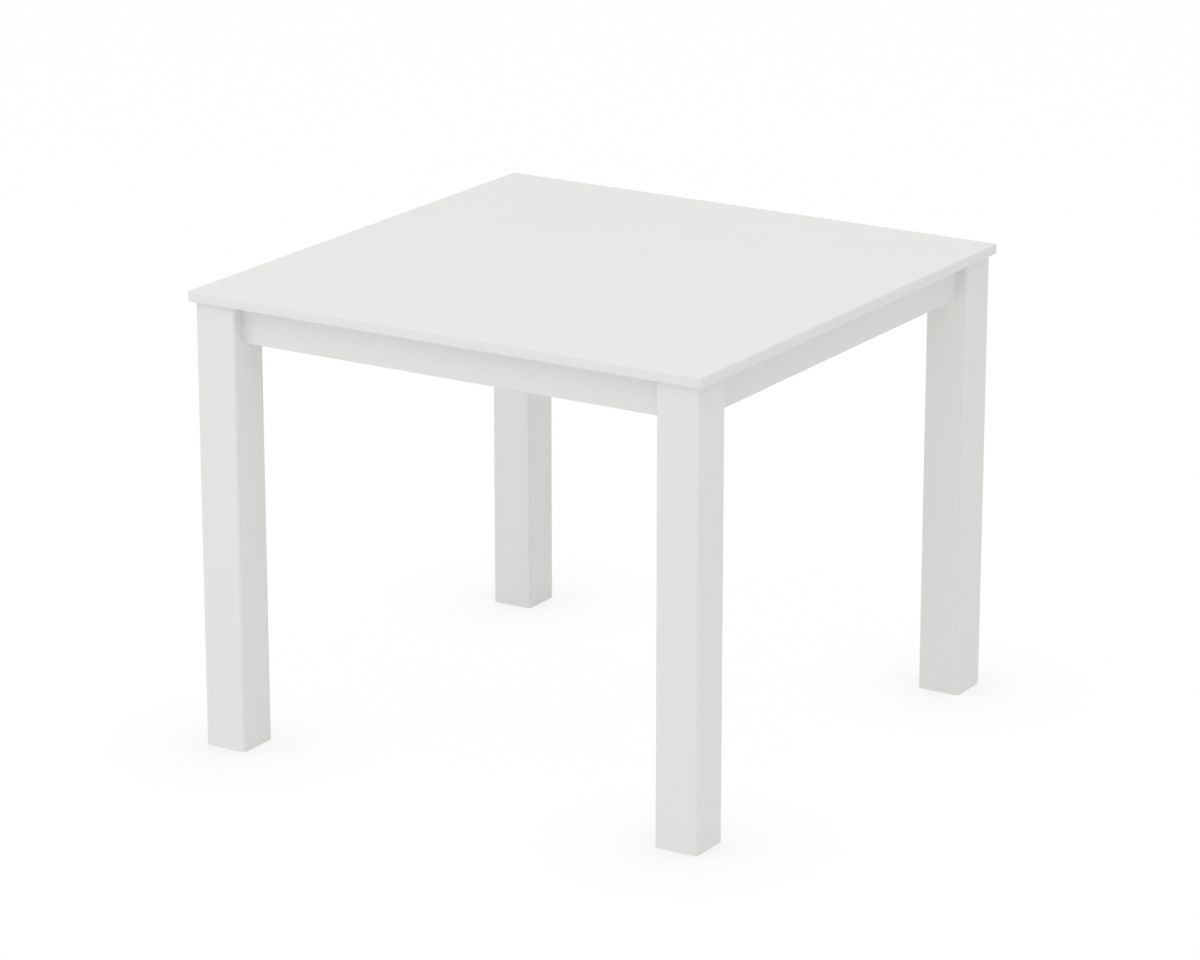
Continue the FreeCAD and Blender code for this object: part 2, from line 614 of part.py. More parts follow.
def make_screw_pattern(label, length):
    """A pan-head screw with a cross recess. Its thread is a plain shank with a pointed end."""
    body = new_body(label)
    sketch = new_sketch(body, f"{label}_profile", "XZ_Plane")
    shank = "Sizes.screw_diameter / 2"
    head = "Sizes.screw_head_diameter / 2"
    draw_outline(sketch, (("0", f"-{length}"), (shank, f"-{length} + Sizes.screw_tip"),
                          (shank, "0"), (head, "0"), (head, "Sizes.screw_head_height"),
                          ("0", "Sizes.screw_head_height")))
    screw = revolve(body, sketch, f"{label}_turned")
    round_edges(body, screw, f"{label}_head", "Sizes.screw_head_radius",
                is_level_at("Sizes.screw_head_height"))
    recess = new_sketch(body, f"{label}_recess_outline", "XY_Plane",
                        ("0", "0", "Sizes.screw_head_height"))
    arm = "Sizes.recess_length / 2"
    side = "Sizes.recess_width / 2"
    draw_outline(recess, ((arm, f"-{side}"), (arm, side), (side, side), (side, arm),
                          (f"-{side}", arm), (f"-{side}", side), (f"-{arm}", side),
                          (f"-{arm}", f"-{side}"), (f"-{side}", f"-{side}"),
                          (f"-{side}", f"-{arm}"), (side, f"-{arm}"), (side, f"-{side}")))
    pocket(body, recess, f"{label}_recess", "Sizes.recess_depth")
    return body


def make_bolt_pattern():
    """A hexagon bolt. Its thread is a plain shank with a bevelled end."""
    body = new_body("bolt_pattern")
    profile = new_sketch(body, "bolt_profile", "XZ_Plane")
    radius = "Places.bolt_radius"
    tip = "Sizes.bolt_tip_bevel"
    draw_outline(profile, (("0", "-Sizes.bolt_length"), (f"{radius} - {tip}", "-Sizes.bolt_length"),
                           (radius, f"-Sizes.bolt_length + {tip}"), (radius, "0"), ("0", "0")))
    revolve(body, profile, "bolt_shank")
    hexagon = new_sketch(body, "bolt_hexagon", "XY_Plane")
    across = "Sizes.bolt_head_width / sqrt(3)"
    corners = [(f"{across} * cos({60 * corner} deg)", f"{across} * sin({60 * corner} deg)")
               for corner in range(6)]
    draw_outline(hexagon, corners)
    pad(body, hexagon, "bolt_head", "Sizes.bolt_head_height")
    bevel = new_sketch(body, "bolt_bevel_profile", "XZ_Plane")
    flat = "Sizes.bolt_head_width / 2"
    draw_outline(bevel, ((flat, "Sizes.bolt_head_height"),
                         (f"{flat} + Sizes.bolt_head_bevel * sqrt(3)", "Sizes.bolt_head_height"),
                         (f"{flat} + Sizes.bolt_head_bevel * sqrt(3)",
                          "Sizes.bolt_head_height - Sizes.bolt_head_bevel")))
    revolve(body, bevel, "bolt_bevel", "PartDesign::Groove")
    return body


def make_ring_pattern(label, outer_radius, inner_radius, length):
    """A plain ring that starts at z = 0."""
    body = new_body(label)
    sketch = new_sketch(body, f"{label}_outline", "XY_Plane")
    draw_circle(sketch, "0", "0", outer_radius)
    draw_circle(sketch, "0", "0", inner_radius)
    pad(body, sketch, f"{label}_ring", length)
    return body


def make_spring_washer_pattern():
    """A ring with one slit, as a spring washer is when its bolt is tight."""
    outer_radius = "Sizes.spring_washer_diameter / 2"
    body = make_ring_pattern("spring_washer_pattern", outer_radius, "Places.washer_hole_radius",
                             "Sizes.spring_washer_thickness")
    slit = new_sketch(body, "spring_washer_slit_outline", "XY_Plane")
    draw_rectangle(slit, "0", "-Sizes.spring_washer_split / 2", "Sizes.spring_washer_diameter",
                   "Sizes.spring_washer_split / 2")
    pocket(body, slit, "spring_washer_slit", "Sizes.spring_washer_thickness", along_normal=True)
    return body


# ---- groups of like pieces ----

def make_group(label, pattern, places):
    """Set a link to a pattern at each place, and gather them as one node of separate solids."""
    copies = []
    for number, (x, y, z, rotation) in enumerate(places, 1):
        copy = doc.addObject("App::Link", f"{label}_{number}")
        copy.LinkedObject = pattern
        place(copy, x, y, z, rotation)
        copies.append(copy)
    group = doc.addObject("Part::Compound", label)
    group.Label = label
    group.Links = copies
    nodes.append(group)


def upright_pair(middle, spacing):
    """Give the heights of two fasteners, one above the other."""
    return [f"{middle} {sign} {spacing} / 2" for sign in "-+"]


def on_leg_diagonals(distance):
    """List the bolt places of all legs, at a distance from the flats towards the middle."""
    along = f"(Places.leg_flat / 2 + ({distance}) / sqrt(2))"
    heights = upright_pair("Places.bracket_middle", "Sizes.bolt_spacing")
    return [(*on_plan(seat, along, along), height, facing(seat, EIGHTH_TURN))
            for seat in CORNERS.values() for height in heights]


def on_angle(seats, out, front, heights):
    """List the screw places on the two upright faces of the brackets that stand on some seats."""
    return [(*on_plan(seat, x, y), height, facing(seat, angle))
            for seat in seats.values() for height in heights
            for x, y, angle in ((out, front, QUARTER_TURN), (front, out, 0))]


def make_fastener_groups():
    """Every insert, bolt, washer, clip and screw of the table."""
    insert = make_ring_pattern("insert_pattern", "Places.insert_radius",
                               "Places.bolt_radius + Sizes.thread_clearance",
                               "Sizes.insert_length")
    make_group("leg_inserts", insert, on_leg_diagonals("-Sizes.insert_length"))

    washer = make_ring_pattern("washer_pattern", "Sizes.washer_diameter / 2",
                               "Places.washer_hole_radius", "Sizes.washer_thickness")
    plate_front = "Sizes.bracket_gap + Sizes.bracket_thickness"
    make_group("leg_flat_washers", washer, on_leg_diagonals(plate_front))
    make_group("leg_spring_washers", make_spring_washer_pattern(),
               on_leg_diagonals(f"{plate_front} + Sizes.washer_thickness"))
    make_group("leg_bolts", make_bolt_pattern(),
               on_leg_diagonals(f"{plate_front} + Places.washer_stack"))

    screw = make_screw_pattern("screw_pattern", "Sizes.screw_length")
    heights = upright_pair("Places.bracket_middle", "Sizes.bracket_hole_spacing")
    make_group("corner_bracket_screws", screw,
               on_angle(CORNERS, "Places.flange_hole", "Places.bracket_front", heights))
    heights = upright_pair("Places.angle_middle", "Sizes.angle_hole_spacing")
    make_group("rail_bracket_screws", screw,
               on_angle(RAIL_ENDS, "Sizes.angle_hole", "Sizes.angle_thickness", heights))

    clips = []
    side_screws = []
    top_screws = []
    for seat, along, board_face in clip_seats():
        turn = FreeCAD.Rotation(QUARTER_TURN * seat[2], 0, 0)
        lying = FreeCAD.Rotation(0, QUARTER_TURN, 0)
        x, y = on_plan(seat, f"({along} - Sizes.clip_width / 2)", board_face)
        clips.append((x, y, "Places.leg_height", turn * lying))
        x, y = on_plan(seat, along, f"({board_face} + Sizes.clip_thickness)")
        side_screws.append((x, y, "Places.clip_z", facing(seat, QUARTER_TURN)))
        x, y = on_plan(seat, along, f"({board_face} + Sizes.clip_hole)")
        top_screws.append((x, y, "Places.leg_height - Sizes.clip_thickness", FACING_DOWN))
    make_group("top_clips", make_clip_pattern(), clips)
    make_group("clip_side_screws", screw, side_screws)
    top_screw = make_screw_pattern("top_screw_pattern", "Sizes.top_screw_length")
    make_group("clip_top_screws", top_screw, top_screws)


# ---- checks and files ----

def check_document():
    """Stop if any object failed or any sub-part has no sound shape."""
    for piece in doc.Objects:
        if "Invalid" in piece.State or "Error" in piece.State:
            raise RuntimeError(f"{piece.Label} failed: {piece.State}")
    for node in nodes:
        if node.Shape.isNull() or not node.Shape.isValid():
            raise RuntimeError(f"{node.Label} has no sound shape")


def write_files():
    """Write each sub-part's shape to a file that its label names."""
    os.makedirs("parts", exist_ok=True)
    for node in nodes:
        node.Shape.exportStep(os.path.join("parts", f"{node.Label}.step"))
        print(f"{node.Label}: {len(node.Shape.Solids)} solids, {node.Shape.Volume:.0f} mm3")


write_sizes()
make_tabletop()
for corner_name in CORNERS:
    make_leg(corner_name)
for side_name in APRONS:
    make_apron(side_name)
for side_name in RAILS:
    make_rail(side_name)
for corner_name in CORNERS:
    make_corner_bracket(corner_name)
for rail_end_name in RAIL_ENDS:
    make_rail_bracket(rail_end_name)
make_fastener_groups()
doc.recompute()
check_document()
write_files()
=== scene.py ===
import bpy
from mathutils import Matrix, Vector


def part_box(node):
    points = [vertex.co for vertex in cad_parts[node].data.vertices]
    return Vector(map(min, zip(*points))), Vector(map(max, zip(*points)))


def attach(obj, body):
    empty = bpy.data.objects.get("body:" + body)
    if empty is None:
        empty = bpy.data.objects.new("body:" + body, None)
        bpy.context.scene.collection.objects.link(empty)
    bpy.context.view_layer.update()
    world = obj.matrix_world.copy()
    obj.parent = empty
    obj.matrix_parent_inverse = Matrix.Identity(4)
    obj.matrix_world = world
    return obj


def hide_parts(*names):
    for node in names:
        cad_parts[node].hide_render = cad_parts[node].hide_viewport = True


bl_info = {
    "name": "Square dining table",
    "version": (1, 0, 0),
    "blender": (4, 5, 0),
    "location": "3D View > Sidebar > Dining table",
    "description": "Makes the boards, steel fittings and finishes of a plastic lumber dining table",
    "category": "Object",
}

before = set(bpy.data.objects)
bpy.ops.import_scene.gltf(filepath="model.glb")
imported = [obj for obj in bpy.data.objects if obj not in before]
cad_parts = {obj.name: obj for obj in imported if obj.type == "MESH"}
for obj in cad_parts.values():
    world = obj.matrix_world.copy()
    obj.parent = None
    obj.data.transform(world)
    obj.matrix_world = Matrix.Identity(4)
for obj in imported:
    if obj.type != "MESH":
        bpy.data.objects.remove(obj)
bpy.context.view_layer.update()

import math

import bpy
import numpy as np
from mathutils import Vector
from mathutils.geometry import delaunay_2d_cdt

# Everything is in metres, with the floor at z = 0 under the middle of the table. A piece is worked
# out in axes of its own, with its outer corner at the origin, and then set on its seat.

CORNERS = ("front_left", "front_right", "back_right", "back_left")
SIDES = ("front", "right", "back", "left")
RAIL_QUARTERS = {"right": 1, "left": 3}
RAIL_ENDS = ("front_right", "front_left", "back_left", "back_right")

QUARTER = math.pi / 2
# How many steps a quarter round, a bend and a whole hole's rim are divided into.
ROUND_STEPS = 8
BEND_STEPS = 8
HOLE_STEPS = 32
# Box corners are rounded to this many places, and points closer than the weld become one.
PLACES = 6
WELD = 1e-6
# A flat face is filled in millimetres, inside its outline only. A face whose normal rises or falls
# by less than the limit counts as upright.
MILLIMETRES = 1000
FILL_INSIDE = 1
FILL_TOLERANCE = 1e-4
UPRIGHT_LIMIT = 0.5
RIGHT = np.array((1.0, 0.0, 0.0))
BACK = np.array((0.0, 1.0, 0.0))
UP = np.array((0.0, 0.0, 1.0))


# ---- sizes and colours that a user would change ----

def length(name, description, default):
    """A length in metres."""
    return bpy.props.FloatProperty(name=name, description=description, default=default,
                                   min=0.0, precision=5, unit="LENGTH")


def share(name, description, default):
    """A number from 0 to 1."""
    return bpy.props.FloatProperty(name=name, description=description, default=default,
                                   min=0.0, max=1.0, subtype="FACTOR")


def amount(name, description, default):
    """A plain number."""
    return bpy.props.FloatProperty(name=name, description=description, default=default, min=0.0)


def colour(name, description, default):
    """A linear colour."""
    return bpy.props.FloatVectorProperty(name=name, description=description, default=default,
                                         size=3, min=0.0, max=1.0, subtype="COLOR")


def angle(name, description, degrees):
    """An angle, given in degrees and kept in radians."""
    return bpy.props.FloatProperty(name=name, description=description,
                                   default=math.radians(degrees), unit="ROTATION")


def place(name, description, default):
    """A point in space, in metres."""
    return bpy.props.FloatVectorProperty(name=name, description=description, default=default,
                                         size=3, subtype="XYZ", unit="LENGTH")


class BoardSizes(bpy.types.PropertyGroup):
    """Roundings, cuts and holes of the boards. Their outer sizes come from the frame."""
    top_corner: length("Top corner radius", "Rounding of the slab's upright corners", 0.0041)
    top_edge: length("Top edge radius", "Rounding round the slab's faces", 0.003)
    leg_edge: length("Leg edge radius", "Rounding of a leg's long edges", 0.0045)
    foot_edge: length("Foot edge radius", "Rounding round a leg's foot", 0.0015)
    board_edge: length("Board edge radius", "Rounding of the aprons and rails", 0.0025)
    flat_inset: length("Leg flat inset", "Flat from the inner faces of the aprons", 0.007)
    flat_margin: length("Leg flat margin", "Flat below the corner bracket", 0.004)
    insert_hole: length("Insert hole radius", "Hole in the leg for an insert", 0.00605)
    insert_depth: length("Insert hole depth", "Hole in the leg for an insert", 0.028)
    kerf_depth: length("Kerf depth", "Cut in an apron for a bracket's lip", 0.0063)
    kerf_clearance: length("Kerf clearance", "Kerf on each side of the lip", 0.0003)
    pilot_hole: length("Pilot hole radius", "Hole in the lumber for a screw", 0.00245)
    pilot_depth: length("Board pilot depth", "Pilot holes of the aprons and rails", 0.019)
    top_pilot_depth: length("Top pilot depth", "Pilot holes of the slab", 0.0135)


class SteelSizes(bpy.types.PropertyGroup):
    """Bent steel parts and the places of their holes."""
    bracket_thickness: length("Bracket thickness", "Steel of the corner bracket", 0.0025)
    bracket_flange: length("Bracket flange", "Corner bracket along an apron", 0.034)
    bracket_hole_inset: length("Flange screws", "Screws from the flange's end", 0.014)
    bracket_spacing: length("Flange screw spacing", "Between a flange's two screws", 0.024)
    bolt_spacing: length("Bolt spacing", "Between a leg's two bolts", 0.024)
    bolt_hole: length("Bolt hole radius", "Corner bracket's bolt holes", 0.0045)
    screw_hole: length("Screw hole radius", "Screw holes in the steel", 0.0028)
    angle_thickness: length("Rail bracket thickness", "Steel of the rail bracket", 0.0025)
    angle_hole: length("Rail bracket screws", "Screws from the bracket's corner", 0.019)
    angle_spacing: length("Rail bracket spacing", "Between a leg's two screws", 0.018)
    clip_thickness: length("Clip thickness", "Steel of a tabletop clip", 0.002)
    clip_leg: length("Clip leg", "Each leg of a tabletop clip", 0.025)
    clip_width: length("Clip width", "A tabletop clip along its board", 0.02)
    clip_hole: length("Clip screws", "A clip's screws from its corner", 0.0145)
    clip_slot: length("Clip slot", "Travel of a clip's slot", 0.005)
    clip_inset: length("Apron clip inset", "Outer clips of an apron from the legs", 0.096)
    rail_clip_inset: length("Rail clip inset", "Clips of a rail from its ends", 0.2)
    bend_radius: length("Bend radius", "Inside of the bends", 0.002)
    lip_radius: length("Lip bend radius", "Inside of the corner bracket's lips", 0.0003)
    corner_radius: length("Corner radius", "Sheared corners of the steel", 0.0015)
    sheared_edge: length("Sheared edge radius", "Rounding of the steel's edges", 0.0003)


class Finishes(bpy.types.PropertyGroup):
    """Colours and surfaces."""
    lumber: colour("Lumber", "White plastic lumber", (0.8, 0.8, 0.785))
    lumber_roughness: share("Lumber roughness", "Mean roughness of the lumber", 0.55)
    bracket_steel: colour("Bracket steel", "Zinc-plated sheet", (0.6, 0.61, 0.62))
    bracket_roughness: share("Bracket roughness", "Mean roughness of the zinc", 0.38)
    fastener_steel: colour("Fastener steel", "Stainless screws, bolts and washers",
                           (0.66, 0.66, 0.67))
    fastener_roughness: share("Fastener roughness", "Mean roughness of the fasteners", 0.26)
    insert_brass: colour("Insert brass", "Threaded inserts", (0.72, 0.56, 0.3))
    insert_roughness: share("Insert roughness", "Mean roughness of the inserts", 0.3)


class Studio(bpy.types.PropertyGroup):
    """Camera, light and floor."""
    camera_place: place("Camera place", "Where the camera stands", (3.7303, -5.9696, 2.576))
    camera_azimuth: angle("Camera azimuth", "0 looks along +Y, 90 along -X", 32.0)
    camera_elevation: angle("Camera elevation", "How far the camera looks down", 17.246)
    camera_lens: amount("Camera lens", "Focal length in millimetres on a 36 mm sensor", 140.21)
    sky: amount("Sky", "Light from all round", 0.68)
    key_place: place("Key place", "Lamp in front, to the left", (-3.186, -3.186, 3.555))
    key: amount("Key", "Watts of the key lamp", 47.8)
    fill_place: place("Fill place", "High lamp in front, to the right", (1.945, -1.945, 5.163))
    fill: amount("Fill", "Watts of the fill lamp", 45.3)
    back_place: place("Back place", "High lamp behind", (0.0, 2.75, 5.163))
    back: amount("Back", "Watts of the lamp behind", 28.0)
    lamp_size: length("Lamp size", "Width of each lamp", 3.0)
    lamp_aim: place("Lamp aim", "Where the lamps point", (0.0, 0.0, 0.4))
    floor_size: length("Floor size", "One side of the floor", 60.0)
    floor_colour: colour("Floor colour", "Floor as the table sees it", (0.85, 0.85, 0.85))
    floor_glow: share("Floor glow", "Light from the floor itself", 0.19)
    contact_reach: length("Contact reach", "How far a foot shades the floor", 0.22)
    contact_depth: share("Contact depth", "How dark a foot's shade is", 0.21)
    floor_shading: share("Floor shading", "Share of the floor's own shading seen", 0.03)


GROUPS = {"table_boards": BoardSizes, "table_steel": SteelSizes, "table_finishes": Finishes,
          "table_studio": Studio}


# ---- places, from the frame ----

class Seat:
    """A place for a piece: a corner, and the piece's own axes as rows, turned by quarters."""

    def __init__(self, corner, quarters):
        turn = QUARTER * quarters
        x_axis = np.round((math.cos(turn), math.sin(turn), 0.0))
        self.axes = np.array((x_axis, np.cross(UP, x_axis), UP))
        self.corner = np.array(corner)

    def world(self, point):
        """Turn a point in the seat's own axes into one in the world's."""
        return self.corner + np.asarray(point) @ self.axes

    def box(self, node):
        """The lowest and highest corners of a CAD node in the seat's own axes."""
        corners = (np.array(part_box(node)) - self.corner) @ self.axes.T
        return np.round((corners.min(axis=0), corners.max(axis=0)), PLACES)


def seat_of(node, quarters):
    """A seat at the corner of a node's box that its own axes, turned by quarters, start from."""
    seat = Seat((0.0, 0.0, 0.0), quarters)
    low, _ = seat.box(node)
    return Seat(seat.world(low), quarters)


def pair(middle, spacing):
    """Two places, half a spacing before and after a middle."""
    return middle - spacing / 2, middle + spacing / 2


def board_seats():
    """Each board's node and its seat: the aprons and then the rails."""
    aprons = [(f"apron_{side}", quarters) for quarters, side in enumerate(SIDES)]
    rails = [(f"rail_{side}", quarters) for side, quarters in RAIL_QUARTERS.items()]
    return [(node, seat_of(node, quarters)) for node, quarters in aprons + rails]


def clips_along(node, board_length, steel):
    """How far along its board each clip's middle lies."""
    if node.startswith("rail"):
        return (steel.rail_clip_inset, board_length - steel.rail_clip_inset)
    return (steel.clip_inset, board_length / 2, board_length - steel.clip_inset)


def clip_seats(steel):
    """Each clip's board seat, how far along it the clip lies, and the board's thickness."""
    found = []
    for node, seat in board_seats():
        board_length, thickness, _ = seat.box(node)[1]
        found += [(seat, along, thickness) for along in clips_along(node, board_length, steel)]
    return found


# ---- surfaces ----

class Skin:
    """The patches of one closed surface: points, outward normals and four-cornered faces.
    A face that names a corner twice is a triangle."""

    def __init__(self):
        self.patches = []

    def add(self, points, normals, faces):
        """Add a patch, with each face turned so that it agrees with its corners' normals."""
        points, normals, faces = (points.reshape(-1, 3), normals.reshape(-1, 3),
                                  faces.reshape(-1, 4))
        at = points[faces]
        across = np.cross(at[:, 2] - at[:, 0], at[:, 3] - at[:, 1])
        agrees = np.einsum("ij,ij->i", across, normals[faces].sum(axis=1)) > 0
        self.patches.append((points, normals, np.where(agrees[:, None], faces, faces[:, ::-1])))

    def grid(self, points, normals, closed=False):
        """Add the quads between the rows and columns of a grid of points. A closed grid's last
        column meets its first."""
        rows, columns = points.shape[:2]
        number = np.arange(rows * columns).reshape(rows, columns)
        if closed:
            number = np.concatenate((number, number[:, :1]), axis=1)
        quads = np.stack((number[:-1, :-1], number[:-1, 1:], number[1:, 1:], number[1:, :-1]),
                         axis=-1)
        self.add(points, normals, quads)

    def flat(self, rim, normal, holes=()):
        """Fill a plane convex loop with triangles that keep its edges and those of its round
        holes, and leave out the triangles whose three corners are on one hole's rim."""
        loops = [rim] + [hole[0] for hole in holes]
        counts = [len(loop) for loop in loops]
        points = np.concatenate(loops)
        owners = np.repeat(np.arange(len(loops)), counts)
        number = np.arange(len(points))
        following = np.concatenate([np.roll(loop, -1) for loop in
                                    np.split(number, np.cumsum(counts)[:-1])])
        u = np.cross(normal, UP if abs(normal[2]) < UPRIGHT_LIMIT else RIGHT)
        u /= np.linalg.norm(u)
        plan = (points - points[0]) @ np.stack((u, np.cross(normal, u)), axis=1) * MILLIMETRES
        found = delaunay_2d_cdt([Vector(spot) for spot in plan],
                                np.stack((number, following), axis=1).tolist(), [],
                                FILL_INSIDE, FILL_TOLERANCE)
        source = np.array([first[0] for first in found[3]])
        faces = source[np.array(found[2])]
        on_one = (owners[faces] == owners[faces[:, :1]]).all(axis=1)
        faces = faces[~on_one | (owners[faces[:, 0]] == 0)]
        self.add(points, np.broadcast_to(normal, points.shape), faces[:, (0, 1, 2, 2)])

    def tunnel(self, hole, axis, depth):
        """Add the wall of a hole: its rim carried along the axis."""
        rim, inward = hole
        self.grid(np.stack((rim, rim + depth * axis)), np.stack((inward, inward)), closed=True)

    def bore(self, hole, axis, depth):
        """Add the wall and the flat bottom of a blind hole that goes in along an axis."""
        self.tunnel(hole, axis, depth)
        self.flat(hole[0] + depth * axis, -axis)

    def place(self, skin, corner, axes):
        """Add a copy of another skin, with its axes turned to these rows and set at a corner."""
        for points, normals, faces in skin.patches:
            self.patches.append((corner + points @ axes, normals @ axes, faces))

    def joined(self):
        """Join the patches: points in the same place are one, and faces keep the normals of
        their own corners. Gives the points, the faces' corners and the corners' normals."""
        starts = np.cumsum([0] + [len(points) for points, _, _ in self.patches])
        points = np.concatenate([patch[0] for patch in self.patches])
        normals = np.concatenate([patch[1] for patch in self.patches])
        faces = np.concatenate([patch[2] + start for patch, start in zip(self.patches, starts)])
        _, first, index = np.unique(np.round(points / WELD), axis=0, return_index=True,
                                    return_inverse=True)
        corners = index.reshape(-1)[faces]
        kept = corners != np.roll(corners, -1, axis=1)
        whole = kept.sum(axis=1) > 2
        corners, kept, faces = corners[whole], kept[whole], faces[whole]
        loops = np.split(corners[kept], np.cumsum(kept.sum(axis=1))[:-1])
        return points[first], loops, normals[faces][kept]


def round_loop(width, depth, radius):
    """The outline of a rectangle from (0, 0) to (width, depth) with round corners, as four arcs
    that run anticlockwise from (0, radius), and its outward normals. A point is the centre of
    its arc plus the radius along its normal."""
    turns = np.linspace(0, QUARTER, ROUND_STEPS + 1) + QUARTER * np.arange(2, 6)[:, None]
    outward = np.stack((np.cos(turns), np.sin(turns)), axis=-1)
    centres = np.array(((radius, radius), (width - radius, radius),
                        (width - radius, depth - radius), (radius, depth - radius)))
    return centres[:, None] + radius * outward, outward


def raised(plan, height):
    """Points on the plan, at a height or heights."""
    return np.concatenate((plan, np.broadcast_to(height, plan.shape[:-1] + (1,))), axis=-1)


def round_over(loop, outward, radius, height, up):
    """Rows that round a loop over from a level face: at the turn t a point lies
    radius * (1 - sin t) inside the loop and radius * (1 - cos t) from the face, and its normal
    leans from straight up or down, at t = 0, to outward, at a quarter turn."""
    turns = np.linspace(0, QUARTER, ROUND_STEPS + 1)[:, None, None]
    plan = loop - radius * (1 - np.sin(turns)) * outward
    rows = raised(plan, height - up * radius * (1 - np.cos(turns)))
    return rows, raised(np.sin(turns) * outward, up * np.cos(turns))


def ring(centre, across, along, radius, travel=0.0):
    """A hole's rim and the normals of its wall. It is a circle, radius * (cos t across + sin t
    along), or a slot, where each half circle is moved by half the travel."""
    half = np.linspace(0, 2 * QUARTER, HOLE_STEPS // 2 + 1)
    if not travel:
        half = half[:-1]
    turns = np.concatenate((half, half + 2 * QUARTER))[:, None]
    outward = np.cos(turns) * across + np.sin(turns) * along
    shift = np.repeat((travel / 2, -travel / 2), len(half))[:, None] * along
    return np.stack((centre + radius * outward + shift, -outward))


def moved(hole, step):
    """The same hole, moved."""
    return np.stack((hole[0] + step, hole[1]))


def plate(size, corner, edge, through=(), blind=(), blind_depth=0.0, folds=()):
    """A level plate from the origin to its size, with round corners and rounded edges. Its
    outline is carried over both edges, each face is filled between its long sides, cell by cell
    from fold to fold, and holes go through it or, blind, up into it."""
    width, depth, thickness = size
    arcs, outward = round_loop(width, depth, corner)
    low = np.stack((folds, np.zeros(len(folds))), axis=1)
    high = np.stack((folds[::-1], np.full(len(folds), depth)), axis=1)
    loop = np.concatenate((arcs[0], low, arcs[1], arcs[2], high, arcs[3]))
    ahead = np.concatenate((outward[0], np.tile((0.0, -1.0), (len(folds), 1)), outward[1],
                            outward[2], np.tile((0.0, 1.0), (len(folds), 1)), outward[3]))
    lower, lower_normals = round_over(loop, ahead, edge, 0.0, -1)
    upper, upper_normals = round_over(loop, ahead, edge, thickness, 1)
    skin = Skin()
    skin.grid(np.concatenate((lower, upper[::-1])),
              np.concatenate((lower_normals, upper_normals[::-1])), closed=True)

    half = len(loop) // 2
    cuts = (0, *range(ROUND_STEPS + 1, ROUND_STEPS + 1 + len(folds)), half - 1)
    step = thickness * UP
    faces = ((lower[0], -UP, (*through, *blind)),
             (upper[0], UP, [moved(hole, step) for hole in through]))
    for rim, normal, holes in faces:
        near, far = rim[:half], rim[half:][::-1]
        for start, end in zip(cuts[:-1], cuts[1:]):
            cell = np.concatenate((near[start:end + 1], far[start:end + 1][::-1]))
            reach = cell[:, 0].min(), cell[:, 0].max()
            inside = [hole for hole in holes if reach[0] < hole[0][:, 0].mean() < reach[1]]
            skin.flat(cell, normal, inside)
    for hole in through:
        skin.tunnel(hole, UP, thickness)
    for hole in blind:
        skin.bore(hole, UP, blind_depth)
    return skin


def carried(profile, stations):
    """A profile of (y, z) carried along x: a row of points at each station."""
    rows = np.empty((len(stations), len(profile), 3))
    rows[..., 0] = np.asarray(stations)[:, None]
    rows[..., 1:] = profile
    return rows


def board_skin(size, edge, outer_holes, inner_holes, hole_depth, kerfs, kerf_depth):
    """A board on edge: x runs along it, y through it from its outer face, z up. Its section, a
    rectangle with round corners, is carried along it. Each kerf, from one station to the next,
    cuts the part of the section behind the kerf's floor."""
    board_length, thickness, height = size
    arcs, outward = round_loop(thickness, height, edge)
    floor = thickness - kerf_depth
    low, high = np.array(((floor, 0.0),)), np.array(((floor, height),))
    down, up = np.array(((0.0, -1.0),)), np.array(((0.0, 1.0),))
    stations = np.array((0.0, *np.ravel(kerfs), board_length))
    spans = stations.reshape(-1, 2)
    skin = Skin()

    def strip(profile, normals, along):
        rows = carried(np.concatenate(profile), along)
        skin.grid(rows, carried(np.concatenate(normals), np.zeros(len(along))))

    def face(y, along, normal, holes):
        sides = [np.stack((row, np.full(len(row), y), np.full(len(row), z)), axis=1)
                 for row, z in ((along, edge), (along[::-1], height - edge))]
        skin.flat(np.concatenate(sides), normal, holes)

    strip((arcs[0], low), (outward[0], down), stations)
    strip((high, arcs[3]), (up, outward[3]), stations)
    face(0.0, stations, -BACK, outer_holes)
    for start, end in spans:
        strip((low, arcs[1]), (down, outward[1]), (start, end))
        strip((arcs[2], high), (outward[2], up), (start, end))
        inside = [hole for hole in inner_holes if start < hole[0][:, 0].mean() < end]
        face(thickness, np.array((start, end)), BACK, inside)
    behind = np.concatenate((low, arcs[1], arcs[2], high))
    for start, end in kerfs:
        skin.flat(carried(behind, (start,))[0], RIGHT)
        skin.flat(carried(behind, (end,))[0], -RIGHT)
        sides = carried(np.concatenate((low, high)), (start, end))
        skin.grid(sides, np.broadcast_to(BACK, sides.shape))
    section = np.concatenate((arcs[0], behind, arcs[3]))
    skin.flat(carried(section, (0.0,))[0], -RIGHT)
    skin.flat(carried(section, (board_length,))[0], RIGHT)
    for hole in outer_holes:
        skin.bore(hole, BACK, hole_depth)
    for hole in inner_holes:
        skin.bore(hole, -BACK, hole_depth)
    return skin


